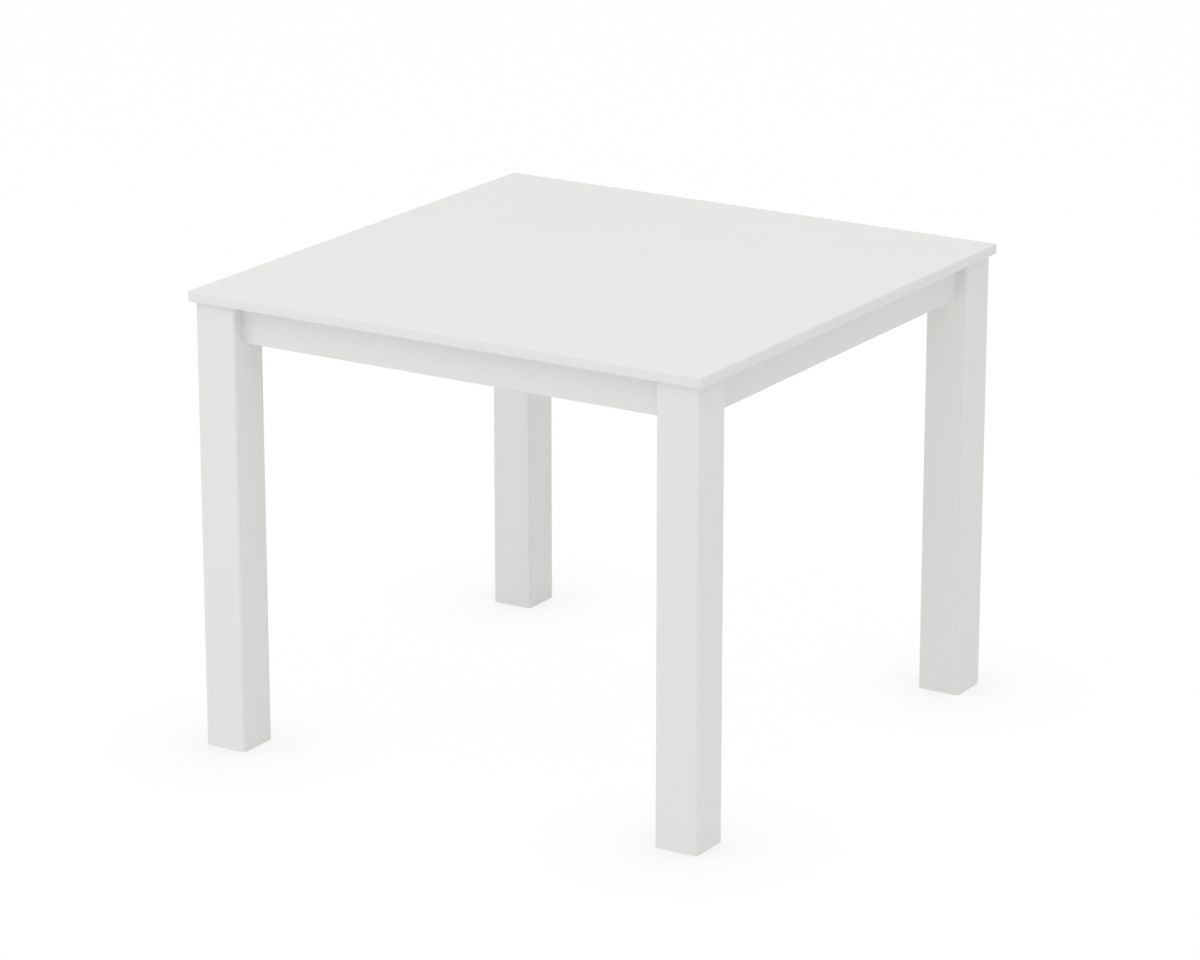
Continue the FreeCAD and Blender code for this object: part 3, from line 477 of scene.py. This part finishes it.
def leg_skin(size, edge, foot_edge, flat_start, flat_foot, holes, hole_depth):
    """A square post with its outer corner at the origin. Its outline is carried over the foot's
    edge and up to the foot of the flat, and above that the inner corner is cut off by the
    diagonal between (side, flat_start) and (flat_start, side)."""
    side, _, height = size
    arcs, outward = round_loop(side, side, edge)
    first, last = np.array(((side, flat_start),)), np.array(((flat_start, side),))
    loop = np.concatenate((arcs[0], arcs[1], first, arcs[2], last, arcs[3]))
    ahead = np.concatenate((outward[0], outward[1], [RIGHT[:2]], outward[2], [BACK[:2]],
                            outward[3]))
    foot, foot_normals = round_over(loop, ahead, foot_edge, 0.0, -1)
    skin = Skin()
    skin.grid(np.concatenate((foot, raised(loop, flat_foot)[None])),
              np.concatenate((foot_normals, raised(ahead, 0.0)[None])), closed=True)
    skin.flat(foot[0], -UP)
    skin.flat(raised(np.concatenate((first, arcs[2], last)), flat_foot), UP)

    cut = np.concatenate((last, arcs[3], arcs[0], arcs[1], first))
    cut_ahead = np.concatenate(([BACK[:2]], outward[3], outward[0], outward[1], [RIGHT[:2]]))
    skin.grid(np.stack((raised(cut, flat_foot), raised(cut, height))),
              np.stack((raised(cut_ahead, 0.0), raised(cut_ahead, 0.0))))
    skin.flat(raised(cut, height), UP)
    diagonal = (RIGHT + BACK) / math.sqrt(2)
    flat = np.concatenate((raised(first, flat_foot), raised(last, flat_foot),
                           raised(last, height), raised(first, height)))
    skin.flat(flat, diagonal, holes)
    for hole in holes:
        skin.bore(hole, -diagonal, hole_depth)
    return skin


class Fold:
    """The middle line of bent sheet on the plan: straight runs between the corners, joined by
    arcs. A run starts where the last arc ends, radius * tan(turn / 2) past the corner. A point at
    s on an arc of curvature k lies (left(start) - left(s)) / k from the arc's start, where left
    is the normal to the left, and its heading is the first one plus k times the distance."""

    def __init__(self, corners, radii):
        corners, radii = np.array(corners), np.array(radii)
        steps = np.diff(corners, axis=0)
        runs = np.linalg.norm(steps, axis=1)
        headings = np.unwrap(np.arctan2(steps[:, 1], steps[:, 0]))
        turns = np.diff(headings)
        self.cuts = radii * np.tan(np.abs(turns) / 2)
        ahead = steps / runs[:, None]
        spans = np.empty(2 * len(runs) - 1)
        spans[0::2] = runs - np.append(0, self.cuts) - np.append(self.cuts, 0)
        spans[1::2] = radii * np.abs(turns)
        self.starts = np.cumsum(np.append(0, spans))
        self.curves = np.zeros(len(spans))
        self.curves[1::2] = np.sign(turns) / radii
        self.headings = np.repeat(headings, 2)[:-1]
        self.places = np.empty((len(spans), 2))
        self.places[0::2] = corners[:-1] + np.append(0, self.cuts)[:, None] * ahead
        self.places[1::2] = corners[1:-1] - self.cuts[:, None] * ahead[:-1]
        self.length = self.starts[-1]

    def folds(self):
        """The distances at which a flat sheet is divided so that it can bend."""
        arcs = zip(self.starts[1:-1:2], self.starts[2::2])
        return np.concatenate([np.linspace(start, end, BEND_STEPS + 1) for start, end in arcs])

    def past(self, corner, distance):
        """The distance along the line of a point on the run after a corner, from its start."""
        return self.starts[2 * corner] + distance - (self.cuts[corner - 1] if corner else 0)

    def bend(self, skin, thickness):
        """Bend a flat plate to the line: x runs along it, y is up, and z goes through it to the
        right of the line."""
        bent = Skin()
        for points, normals, faces in skin.patches:
            part = np.clip(np.searchsorted(self.starts, points[:, 0], side="right") - 1, 0,
                           len(self.curves) - 1)
            gone = points[:, 0] - self.starts[part]
            curve, first = self.curves[part], self.headings[part]
            heading = first + curve * gone
            curved = curve != 0
            bow = np.where(curved, curve, 1.0)[:, None]
            left_first = np.stack((-np.sin(first), np.cos(first)), axis=1)
            left = np.stack((-np.sin(heading), np.cos(heading)), axis=1)
            ahead = np.stack((np.cos(heading), np.sin(heading)), axis=1)
            along = np.where(curved[:, None], (left_first - left) / bow, gone[:, None] * ahead)
            through = points[:, 2:] - thickness / 2
            spots = raised(self.places[part] + along - through * left, points[:, 1:2])
            leaning = raised(normals[:, :1] * ahead - normals[:, 2:] * left, normals[:, 1:2])
            bent.patches.append((spots, leaning, faces))
        return bent


def bent_sheet(fold, height, thickness, holes, steel):
    """A strip of sheet steel of a height, pierced while flat and then bent along a line."""
    size = (fold.length, height, thickness)
    flat = plate(size, steel.corner_radius, steel.sheared_edge, through=holes,
                 folds=fold.folds())
    return fold.bend(flat, thickness)


def angle_skin(leg, height, thickness, steel, spots):
    """Steel bent to a right angle, with its outer faces on x = 0 and y = 0. Each spot is how far
    from the corner a hole lies on the leg along x or, if negative, on the leg along y, its
    height, and its travel if it is a slot."""
    middle = thickness / 2
    fold = Fold(((leg, middle), (middle, middle), (middle, leg)), (steel.bend_radius + middle,))
    holes = []
    for reach, up, travel in spots:
        along = leg - reach if reach > 0 else fold.length - leg - reach
        holes.append(ring((along, up, 0.0), RIGHT, BACK, steel.screw_hole, travel))
    return bent_sheet(fold, height, thickness, holes, steel)


# ---- materials ----

# Each slot's material, each metal slot's property for its roughness, and the CAD nodes whose
# shapes stay, with their slots.
MATERIAL_NAMES = {"plastic_lumber": "plastic_lumber_drawn", "bracket_steel": "zinc_plated_sheet",
                  "fastener_steel": "stainless_turned", "insert_brass": "brass_turned"}
ROUGHNESS_NAMES = {"bracket_steel": "bracket_roughness", "fastener_steel": "fastener_roughness",
                   "insert_brass": "insert_roughness"}
CARRIED_OVER = {"leg_inserts": "insert_brass", "leg_flat_washers": "fastener_steel",
                "leg_spring_washers": "fastener_steel", "leg_bolts": "fastener_steel",
                "corner_bracket_screws": "fastener_steel",
                "rail_bracket_screws": "fastener_steel", "clip_side_screws": "fastener_steel",
                "clip_top_screws": "fastener_steel"}
WHITE = (1.0, 1.0, 1.0, 1.0)
# The Mix node's sockets for colours.
FIRST_COLOUR = 6
SECOND_COLOUR = 7
MIXED_COLOUR = 2

# Lumber: each pattern's features to a metre, how its axes are scaled so that it is drawn out along
# the grain, and its part in the tone, the roughness and the relief. Tones run from dark to light,
# the smoother is taken off the mean roughness, and the depth of the bump is in metres.
STREAKS = 420.0
PEBBLE = 1900.0
CLOUDS = 14.0
STREAK_DRAW = (0.03, 1.0, 1.0)
CLOUD_DRAW = (0.25, 1.0, 1.0)
CLOUD_TONE = 0.6
STREAK_TONE = 0.3
PEBBLE_TONE = 0.1
LUMBER_DARK = 0.985
LUMBER_LIGHT = 1.012
LUMBER_SMOOTHER = 0.09
STREAK_ROUGHNESS = 0.12
PEBBLE_ROUGHNESS = 0.06
STREAK_RELIEF = 0.45
PEBBLE_RELIEF = 0.55
LUMBER_BUMP = 0.6
LUMBER_DEPTH = 0.00012

# Metals, in the same way: mottled patches and scratches.
MOTTLE = 260.0
SCRATCHES = 2600.0
SCRATCH_DRAW = (1.0, 0.25, 0.25)
PATCH_TONE = 0.7
SCRATCH_TONE = 0.3
METAL_DARK = 0.86
METAL_LIGHT = 1.1
METAL_SMOOTHER = 0.1
PATCH_ROUGHNESS = 0.14
SCRATCH_ROUGHNESS = 0.08
SCRATCH_RELIEF = 0.6
PATCH_RELIEF = 0.4
METAL_BUMP = 0.25
METAL_DEPTH = 0.00004


class Signal:
    """A socket's value. An expression on signals and numbers adds its Math nodes."""

    def __init__(self, shader, socket):
        self.shader = shader
        self.socket = socket

    def __add__(self, other):
        return self.shader.maths("ADD", self, other)

    def __sub__(self, other):
        return self.shader.maths("SUBTRACT", self, other)

    def __rsub__(self, other):
        return self.shader.maths("SUBTRACT", other, self)

    def __mul__(self, other):
        return self.shader.maths("MULTIPLY", self, other)

    __radd__ = __add__
    __rmul__ = __mul__


class Shader:
    """A node tree that is being made."""

    def __init__(self, tree):
        self.tree = tree
        tree.nodes.clear()

    def make(self, kind, inputs, output=0, **settings):
        """Add a node: its settings first, then the values or links of its sockets."""
        node = self.tree.nodes.new(kind)
        for name, setting in settings.items():
            setattr(node, name, setting)
        for name, given in inputs.items():
            if isinstance(given, Signal):
                self.tree.links.new(given.socket, node.inputs[name])
            else:
                node.inputs[name].default_value = given
        return Signal(self, node.outputs[output]) if node.outputs else None

    def maths(self, operation, first, second):
        """Add a Math node."""
        return self.make("ShaderNodeMath", {0: first, 1: second}, operation=operation)

    def scaled(self, vector, scale):
        """A vector, stretched along each axis."""
        return self.make("ShaderNodeVectorMath", {0: vector, 1: scale}, operation="MULTIPLY")

    def noise(self, vector, scale, detail, roughness=0.5):
        """Noise from 0 to 1, with so many features to a metre."""
        return self.make("ShaderNodeTexNoise", {"Vector": vector, "Scale": scale,
                                                "Detail": detail, "Roughness": roughness})

    def mixed(self, factor, first, second):
        """A colour between two colours."""
        inputs = {"Factor": factor, FIRST_COLOUR: first, SECOND_COLOUR: second}
        return self.make("ShaderNodeMix", inputs, output=MIXED_COLOUR, data_type="RGBA")

    def bumped(self, height, strength, distance):
        """A normal that follows small heights, given in units of a distance."""
        return self.make("ShaderNodeBump", {"Height": height, "Strength": strength,
                                            "Distance": distance})


def opaque(base, factor=1.0):
    """A colour times a factor, with an alpha of 1."""
    return (*(channel * factor for channel in base), 1.0)


def new_material(name):
    """An empty material and its tree."""
    material = bpy.data.materials.new(name)
    material.use_nodes = True
    return material, Shader(material.node_tree)


def lumber_material(name, finishes):
    """White plastic lumber: a matt skin with faint drawn streaks along the board, a fine pebble
    and slow changes of tone. Its pattern follows the board's own length."""
    material, shader = new_material(name)
    grain = shader.make("ShaderNodeAttribute", {}, output="Vector", attribute_type="GEOMETRY",
                        attribute_name="grain")
    streaks = shader.noise(shader.scaled(grain, STREAK_DRAW), STREAKS, detail=3.0, roughness=0.6)
    pebble = shader.noise(grain, PEBBLE, detail=2.0)
    clouds = shader.noise(shader.scaled(grain, CLOUD_DRAW), CLOUDS, detail=2.0)
    tone = clouds * CLOUD_TONE + streaks * STREAK_TONE + pebble * PEBBLE_TONE
    base = shader.mixed(tone, opaque(finishes.lumber, LUMBER_DARK),
                        opaque(finishes.lumber, LUMBER_LIGHT))
    smoothest = finishes.lumber_roughness - LUMBER_SMOOTHER
    roughness = smoothest + streaks * STREAK_ROUGHNESS + pebble * PEBBLE_ROUGHNESS
    relief = streaks * STREAK_RELIEF + pebble * PEBBLE_RELIEF
    normal = shader.bumped(relief, LUMBER_BUMP, LUMBER_DEPTH)
    surface = shader.make("ShaderNodeBsdfPrincipled",
                          {"Base Color": base, "Roughness": roughness, "Normal": normal})
    shader.make("ShaderNodeOutputMaterial", {"Surface": surface})
    return material


def metal_material(name, base, mean_roughness):
    """Plated or bare metal: mottled in patches of a few millimetres, with fine scratches."""
    material, shader = new_material(name)
    spot = shader.make("ShaderNodeTexCoord", {}, output="Object")
    patches = shader.noise(spot, MOTTLE, detail=3.0, roughness=0.6)
    scratches = shader.noise(shader.scaled(spot, SCRATCH_DRAW), SCRATCHES, detail=4.0,
                             roughness=0.7)
    tone = patches * PATCH_TONE + scratches * SCRATCH_TONE
    tinted = shader.mixed(tone, opaque(base, METAL_DARK), opaque(base, METAL_LIGHT))
    smoothest = mean_roughness - METAL_SMOOTHER
    roughness = smoothest + patches * PATCH_ROUGHNESS + scratches * SCRATCH_ROUGHNESS
    relief = scratches * SCRATCH_RELIEF + patches * PATCH_RELIEF
    normal = shader.bumped(relief, METAL_BUMP, METAL_DEPTH)
    surface = shader.make("ShaderNodeBsdfPrincipled",
                          {"Base Color": tinted, "Metallic": 1.0, "Roughness": roughness,
                           "Normal": normal})
    shader.make("ShaderNodeOutputMaterial", {"Surface": surface})
    return material


def finish_for(slot_name, finishes):
    """The material of one of the record's slots, made the first time that it is asked for."""
    name = MATERIAL_NAMES[slot_name]
    made = bpy.data.materials.get(name)
    if made:
        return made
    if slot_name == "plastic_lumber":
        return lumber_material(name, finishes)
    base = getattr(finishes, slot_name)
    return metal_material(name, base, getattr(finishes, ROUGHNESS_NAMES[slot_name]))


# ---- pieces ----

# The order of a piece's axes that puts the one along the grain first, and how far the pattern of
# each kind of board is shifted, in metres, plus one metre for each of the board's quarter turns.
LEVEL_GRAIN = (0, 1, 2)
UPRIGHT_GRAIN = (2, 0, 1)
LEG_SHIFT = 1.0
APRON_SHIFT = 5.0
RAIL_SHIFT = 9.0


def build(name, skin, seat, node, slot_name, grain=LEVEL_GRAIN, shift=0.0):
    """Make a skin into a piece on its seat that stands for a CAD node. The grain attribute is
    the point in the piece's own axes, with the one along the board first, and shifted so that
    no two boards have the same pattern."""
    points, loops, normals = skin.joined()
    mesh = bpy.data.meshes.new(name)
    mesh.from_pydata(seat.world(points), [], loops, shade_flat=False)
    mesh.normals_split_custom_set(normals @ seat.axes)
    own = mesh.attributes.new("grain", "FLOAT_VECTOR", "POINT")
    own.data.foreach_set("vector", (points[:, grain] + shift).astype(np.float32).ravel())
    mesh.update()
    piece = bpy.data.objects.new(name, mesh)
    bpy.context.scene.collection.objects.link(piece)
    mesh.materials.append(finish_for(slot_name, bpy.context.scene.table_finishes))
    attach(piece, "root")
    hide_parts(node)


class TablePiece:
    """What the operators share."""
    bl_options = {"REGISTER", "UNDO"}

    def sizes(self, context):
        """The sizes of the boards and of the steel."""
        return context.scene.table_boards, context.scene.table_steel


class TABLE_OT_top(TablePiece, bpy.types.Operator):
    """Make the tabletop: one slab with rounded edges and pilot holes for its clips"""
    bl_idname = "table.make_top"
    bl_label = "Tabletop"

    def execute(self, context):
        boards, steel = self.sizes(context)
        seat = seat_of("tabletop", 0)
        holes = []
        for board_seat, along, thickness in clip_seats(steel):
            spot = board_seat.world((along, thickness + steel.clip_hole, 0.0)) - seat.corner
            holes.append(ring((spot[0], spot[1], 0.0), RIGHT, BACK, boards.pilot_hole))
        skin = plate(seat.box("tabletop")[1], boards.top_corner, boards.top_edge, blind=holes,
                     blind_depth=boards.top_pilot_depth)
        build("tabletop_slab", skin, seat, "tabletop", "plastic_lumber")
        return {"FINISHED"}


class TABLE_OT_legs(TablePiece, bpy.types.Operator):
    """Make the four legs, each with a flat and two bores behind its bracket"""
    bl_idname = "table.make_legs"
    bl_label = "Legs"

    def execute(self, context):
        boards, steel = self.sizes(context)
        diagonal = (RIGHT - BACK) / math.sqrt(2)
        for quarters, corner in enumerate(CORNERS):
            node = f"leg_{corner}"
            seat = seat_of(node, quarters)
            size = seat.box(node)[1]
            flat_start = seat.box(f"apron_{SIDES[quarters]}")[1][1] + boards.flat_inset
            low, high = seat.box(f"corner_bracket_{corner}")
            middle = (size[0] + flat_start) / 2
            holes = [ring((middle, middle, up), diagonal, UP, boards.insert_hole)
                     for up in pair((low[2] + high[2]) / 2, steel.bolt_spacing)]
            skin = leg_skin(size, boards.leg_edge, boards.foot_edge, flat_start,
                            low[2] - boards.flat_margin, holes, boards.insert_depth)
            build(f"{node}_post", skin, seat, node, "plastic_lumber", UPRIGHT_GRAIN,
                  quarters + LEG_SHIFT)
        return {"FINISHED"}


def apron_cuts(side, quarters, seat, boards, steel):
    """An apron's inner holes and its kerfs, both from the brackets that meet it."""
    board_length, thickness, height = seat.box(f"apron_{side}")[1]
    low, high = seat.box(f"corner_bracket_{CORNERS[quarters]}")
    reach = high[0] - steel.bracket_hole_inset
    levels = pair((low[2] + high[2]) / 2, steel.bracket_spacing)
    spots = [(along, up) for along in (reach, board_length - reach) for up in levels]
    for rail_end in RAIL_ENDS:
        if rail_end.startswith(side):
            low_angle, high_angle = seat.box(f"rail_bracket_{rail_end}")
            on_right = low_angle[0] > board_length / 2
            along = (low_angle[0] + steel.angle_hole if on_right
                     else high_angle[0] - steel.angle_hole)
            spots += [(along, up) for up in pair((low_angle[2] + high_angle[2]) / 2,
                                                 steel.angle_spacing)]
    spots += [(along, height - steel.clip_hole)
              for along in clips_along(f"apron_{side}", board_length, steel)]
    holes = [ring((along, thickness, up), RIGHT, UP, boards.pilot_hole) for along, up in spots]
    kerf = (high[0] - steel.bracket_thickness - boards.kerf_clearance,
            high[0] + boards.kerf_clearance)
    return holes, (kerf, (board_length - kerf[1], board_length - kerf[0]))


class TABLE_OT_aprons(TablePiece, bpy.types.Operator):
    """Make the four aprons, each with a kerf near each end for a bracket's lip"""
    bl_idname = "table.make_aprons"
    bl_label = "Aprons"

    def execute(self, context):
        boards, steel = self.sizes(context)
        for quarters, side in enumerate(SIDES):
            node = f"apron_{side}"
            seat = seat_of(node, quarters)
            holes, kerfs = apron_cuts(side, quarters, seat, boards, steel)
            skin = board_skin(seat.box(node)[1], boards.board_edge, (), holes,
                              boards.pilot_depth, kerfs, boards.kerf_depth)
            build(f"{node}_board", skin, seat, node, "plastic_lumber",
                  shift=quarters + APRON_SHIFT)
        return {"FINISHED"}


class TABLE_OT_rails(TablePiece, bpy.types.Operator):
    """Make the two rails under the slab"""
    bl_idname = "table.make_rails"
    bl_label = "Rails"

    def execute(self, context):
        boards, steel = self.sizes(context)
        for side, quarters in RAIL_QUARTERS.items():
            node = f"rail_{side}"
            seat = seat_of(node, quarters)
            size = seat.box(node)[1]
            low, high = seat.box(f"rail_bracket_front_{side}")
            levels = pair((low[2] + high[2]) / 2, steel.angle_spacing)
            outer = [ring((along, 0.0, up), RIGHT, UP, boards.pilot_hole)
                     for along in (steel.angle_hole, size[0] - steel.angle_hole)
                     for up in levels]
            inner = [ring((along, size[1], size[2] - steel.clip_hole), RIGHT, UP,
                          boards.pilot_hole)
                     for along in clips_along(node, size[0], steel)]
            skin = board_skin(size, boards.board_edge, outer, inner, boards.pilot_depth, (),
                              boards.kerf_depth)
            build(f"{node}_board", skin, seat, node, "plastic_lumber",
                  shift=quarters + RAIL_SHIFT)
        return {"FINISHED"}


class TABLE_OT_corner_brackets(TablePiece, bpy.types.Operator):
    """Make the four bent brackets that pull the legs into their corners"""
    bl_idname = "table.make_corner_brackets"
    bl_label = "Corner brackets"

    def execute(self, context):
        _, steel = self.sizes(context)
        thickness = steel.bracket_thickness
        for quarters, corner in enumerate(CORNERS):
            node = f"corner_bracket_{corner}"
            seat = seat_of(f"leg_{corner}", quarters)
            low, high = seat.box(node)
            back = seat.box(f"apron_{SIDES[quarters]}")[1][1]
            front = back + thickness / 2
            end = high[0] - thickness / 2
            plate_middle = high[0] + back - steel.bracket_flange + thickness / math.sqrt(2)
            half = ((end, low[0]), (end, front), (plate_middle - front, front))
            line = half + tuple((y, x) for x, y in reversed(half))
            lip_bend = steel.lip_radius + thickness / 2
            bend = steel.bend_radius + thickness / 2
            fold = Fold(line, (lip_bend, bend, bend, lip_bend))
            height = high[2] - low[2]
            screw = fold.past(1, steel.bracket_hole_inset - thickness / 2)
            holes = [ring((along, up, 0.0), RIGHT, BACK, steel.screw_hole)
                     for along in (screw, fold.length - screw)
                     for up in pair(height / 2, steel.bracket_spacing)]
            holes += [ring((fold.length / 2, up, 0.0), RIGHT, BACK, steel.bolt_hole)
                      for up in pair(height / 2, steel.bolt_spacing)]
            skin = bent_sheet(fold, height, thickness, holes, steel)
            seat.corner = seat.world((0.0, 0.0, low[2]))
            build(f"{node}_steel", skin, seat, node, "bracket_steel")
        return {"FINISHED"}


class TABLE_OT_rail_brackets(TablePiece, bpy.types.Operator):
    """Make the four angles between the rails and the aprons"""
    bl_idname = "table.make_rail_brackets"
    bl_label = "Rail brackets"

    def execute(self, context):
        _, steel = self.sizes(context)
        for quarters, rail_end in enumerate(RAIL_ENDS):
            node = f"rail_bracket_{rail_end}"
            seat = seat_of(node, quarters)
            leg, _, height = seat.box(node)[1]
            spots = [(reach, up, 0.0) for reach in (steel.angle_hole, -steel.angle_hole)
                     for up in pair(height / 2, steel.angle_spacing)]
            skin = angle_skin(leg, height, steel.angle_thickness, steel, spots)
            build(f"{node}_steel", skin, seat, node, "bracket_steel")
        return {"FINISHED"}


class TABLE_OT_clips(TablePiece, bpy.types.Operator):
    """Make the clips that hold the slab down, each with a slot that lets it grow and shrink"""
    bl_idname = "table.make_clips"
    bl_label = "Tabletop clips"

    def execute(self, context):
        _, steel = self.sizes(context)
        middle = steel.clip_width / 2
        spots = ((steel.clip_hole, middle, 0.0), (-steel.clip_hole, middle, steel.clip_slot))
        clip = angle_skin(steel.clip_leg, steel.clip_width, steel.clip_thickness, steel, spots)
        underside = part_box("tabletop")[0][2]
        skin = Skin()
        for seat, along, thickness in clip_seats(steel):
            corner = seat.world((along - middle, thickness, 0.0))
            corner[2] = underside
            skin.place(clip, corner, np.array((-UP, seat.axes[1], seat.axes[0])))
        build("top_clips_steel", skin, Seat((0.0, 0.0, 0.0), 0), "top_clips", "bracket_steel")
        return {"FINISHED"}


class TABLE_OT_fasteners(TablePiece, bpy.types.Operator):
    """Finish the screws, bolts, washers and inserts, whose CAD shapes stay"""
    bl_idname = "table.finish_fasteners"
    bl_label = "Fasteners"

    def execute(self, context):
        for node, slot_name in CARRIED_OVER.items():
            finish = finish_for(slot_name, context.scene.table_finishes)
            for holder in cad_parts[node].material_slots:
                holder.material = finish
        return {"FINISHED"}


# ---- stage ----

LAMPS = ("key", "fill", "back")
# The camera's sensor in millimetres, and how far it sees in metres.
SENSOR_WIDTH = 36.0
SIGHT = 200.0
SHADE_SAMPLES = 16


def add_lamp(name, studio):
    """A square lamp that faces the table and isn't seen itself."""
    light = bpy.data.lights.new(name, "AREA")
    light.size = studio.lamp_size
    light.energy = getattr(studio, name)
    lamp = bpy.data.objects.new(name, light)
    lamp.location = getattr(studio, f"{name}_place")
    ahead = Vector(studio.lamp_aim) - lamp.location
    lamp.rotation_euler = ahead.to_track_quat("-Z", "Y").to_euler()
    lamp.visible_camera = False
    bpy.context.scene.collection.objects.link(lamp)


def seen_directly(shader):
    """1 for camera, mirror and glass rays, which see the background, and 0 for the rest."""
    rays = [shader.make("ShaderNodeLightPath", {}, output=name)
            for name in ("Is Camera Ray", "Is Glossy Ray", "Is Transmission Ray")]
    return shader.maths("MINIMUM", rays[0] + rays[1] + rays[2], 1.0)


def add_sky(studio):
    """Light from all round, and a white background behind it."""
    world = bpy.data.worlds.new("studio")
    world.use_nodes = True
    shader = Shader(world.node_tree)
    light = shader.make("ShaderNodeBackground", {"Color": WHITE, "Strength": studio.sky})
    white = shader.make("ShaderNodeBackground", {"Color": WHITE, "Strength": 1.0})
    surface = shader.make("ShaderNodeMixShader", {0: seen_directly(shader), 1: light, 2: white})
    shader.make("ShaderNodeOutputWorld", {"Surface": surface})
    bpy.context.scene.world = world


def floor_material(studio):
    """White to the eye, with a soft shade round each foot, a share of its own shading and
    nothing from below. The table sees it as a plain matt floor that glows a little."""
    material, shader = new_material("studio_floor")
    openness = shader.make("ShaderNodeAmbientOcclusion", {"Distance": studio.contact_reach},
                           output="AO", samples=SHADE_SAMPLES)
    level = 1 - (1 - openness) * studio.contact_depth
    white = shader.make("ShaderNodeEmission", {"Color": level, "Strength": 1.0})
    paper = shader.make("ShaderNodeBsdfDiffuse", {"Color": WHITE})
    seen = shader.make("ShaderNodeMixShader", {0: studio.floor_shading, 1: white, 2: paper})
    diffuse = shader.make("ShaderNodeBsdfDiffuse", {"Color": opaque(studio.floor_colour)})
    glow = shader.make("ShaderNodeEmission", {"Strength": studio.floor_glow})
    matt = shader.make("ShaderNodeAddShader", {0: diffuse, 1: glow})
    top = shader.make("ShaderNodeMixShader", {0: seen_directly(shader), 1: matt, 2: seen})
    clear = shader.make("ShaderNodeBsdfTransparent", {})
    below = shader.make("ShaderNodeNewGeometry", {}, output="Backfacing")
    surface = shader.make("ShaderNodeMixShader", {0: below, 1: top, 2: clear})
    shader.make("ShaderNodeOutputMaterial", {"Surface": surface})
    return material


class TABLE_OT_stage(TablePiece, bpy.types.Operator):
    """Make the camera, the floor and the studio's light"""
    bl_idname = "table.make_stage"
    bl_label = "Stage"

    def execute(self, context):
        studio = context.scene.table_studio
        camera = bpy.data.objects.new("camera", bpy.data.cameras.new("camera"))
        camera.data.lens = studio.camera_lens
        camera.data.sensor_width = SENSOR_WIDTH
        camera.data.clip_end = SIGHT
        camera.location = studio.camera_place
        camera.rotation_euler = (QUARTER - studio.camera_elevation, 0.0, studio.camera_azimuth)
        context.scene.collection.objects.link(camera)
        context.scene.camera = camera
        context.scene.view_settings.view_transform = "Standard"

        add_sky(studio)
        for name in LAMPS:
            add_lamp(name, studio)

        half = studio.floor_size / 2
        corners = half * np.array(((-1, -1, 0), (1, -1, 0), (1, 1, 0), (-1, 1, 0)))
        mesh = bpy.data.meshes.new("studio_floor")
        mesh.from_pydata(corners, [], [(0, 1, 2, 3)])
        mesh.materials.append(floor_material(studio))
        floor = bpy.data.objects.new("studio_floor", mesh)
        context.scene.collection.objects.link(floor)
        return {"FINISHED"}


# ---- add-on ----

OPERATORS = (TABLE_OT_top, TABLE_OT_legs, TABLE_OT_aprons, TABLE_OT_rails,
             TABLE_OT_corner_brackets, TABLE_OT_rail_brackets, TABLE_OT_clips,
             TABLE_OT_fasteners, TABLE_OT_stage)


class TABLE_PT_sidebar(bpy.types.Panel):
    """Lists the sizes and the pieces"""
    bl_label = "Dining table"
    bl_space_type = "VIEW_3D"
    bl_region_type = "UI"
    bl_category = "Dining table"

    def draw(self, context):
        for operator in OPERATORS:
            self.layout.operator(operator.bl_idname)
        for name, group in GROUPS.items():
            column = self.layout.column()
            column.label(text=group.__doc__)
            for size in group.__annotations__:
                column.prop(getattr(context.scene, name), size)


def register():
    """Register the classes and give the scene its groups of sizes."""
    for kind in (*GROUPS.values(), *OPERATORS, TABLE_PT_sidebar):
        bpy.utils.register_class(kind)
    for name, group in GROUPS.items():
        setattr(bpy.types.Scene, name, bpy.props.PointerProperty(type=group))


def unregister():
    """Take the groups and the classes away again."""
    for name in GROUPS:
        delattr(bpy.types.Scene, name)
    for kind in reversed((*GROUPS.values(), *OPERATORS, TABLE_PT_sidebar)):
        bpy.utils.unregister_class(kind)


def main():
    """Register the add-on, then make every piece and the stage."""
    register()
    bpy.ops.table.make_top()
    bpy.ops.table.make_legs()
    bpy.ops.table.make_aprons()
    bpy.ops.table.make_rails()
    bpy.ops.table.make_corner_brackets()
    bpy.ops.table.make_rail_brackets()
    bpy.ops.table.make_clips()
    bpy.ops.table.finish_fasteners()
    bpy.ops.table.make_stage()


if __name__ == "__main__":
    main()
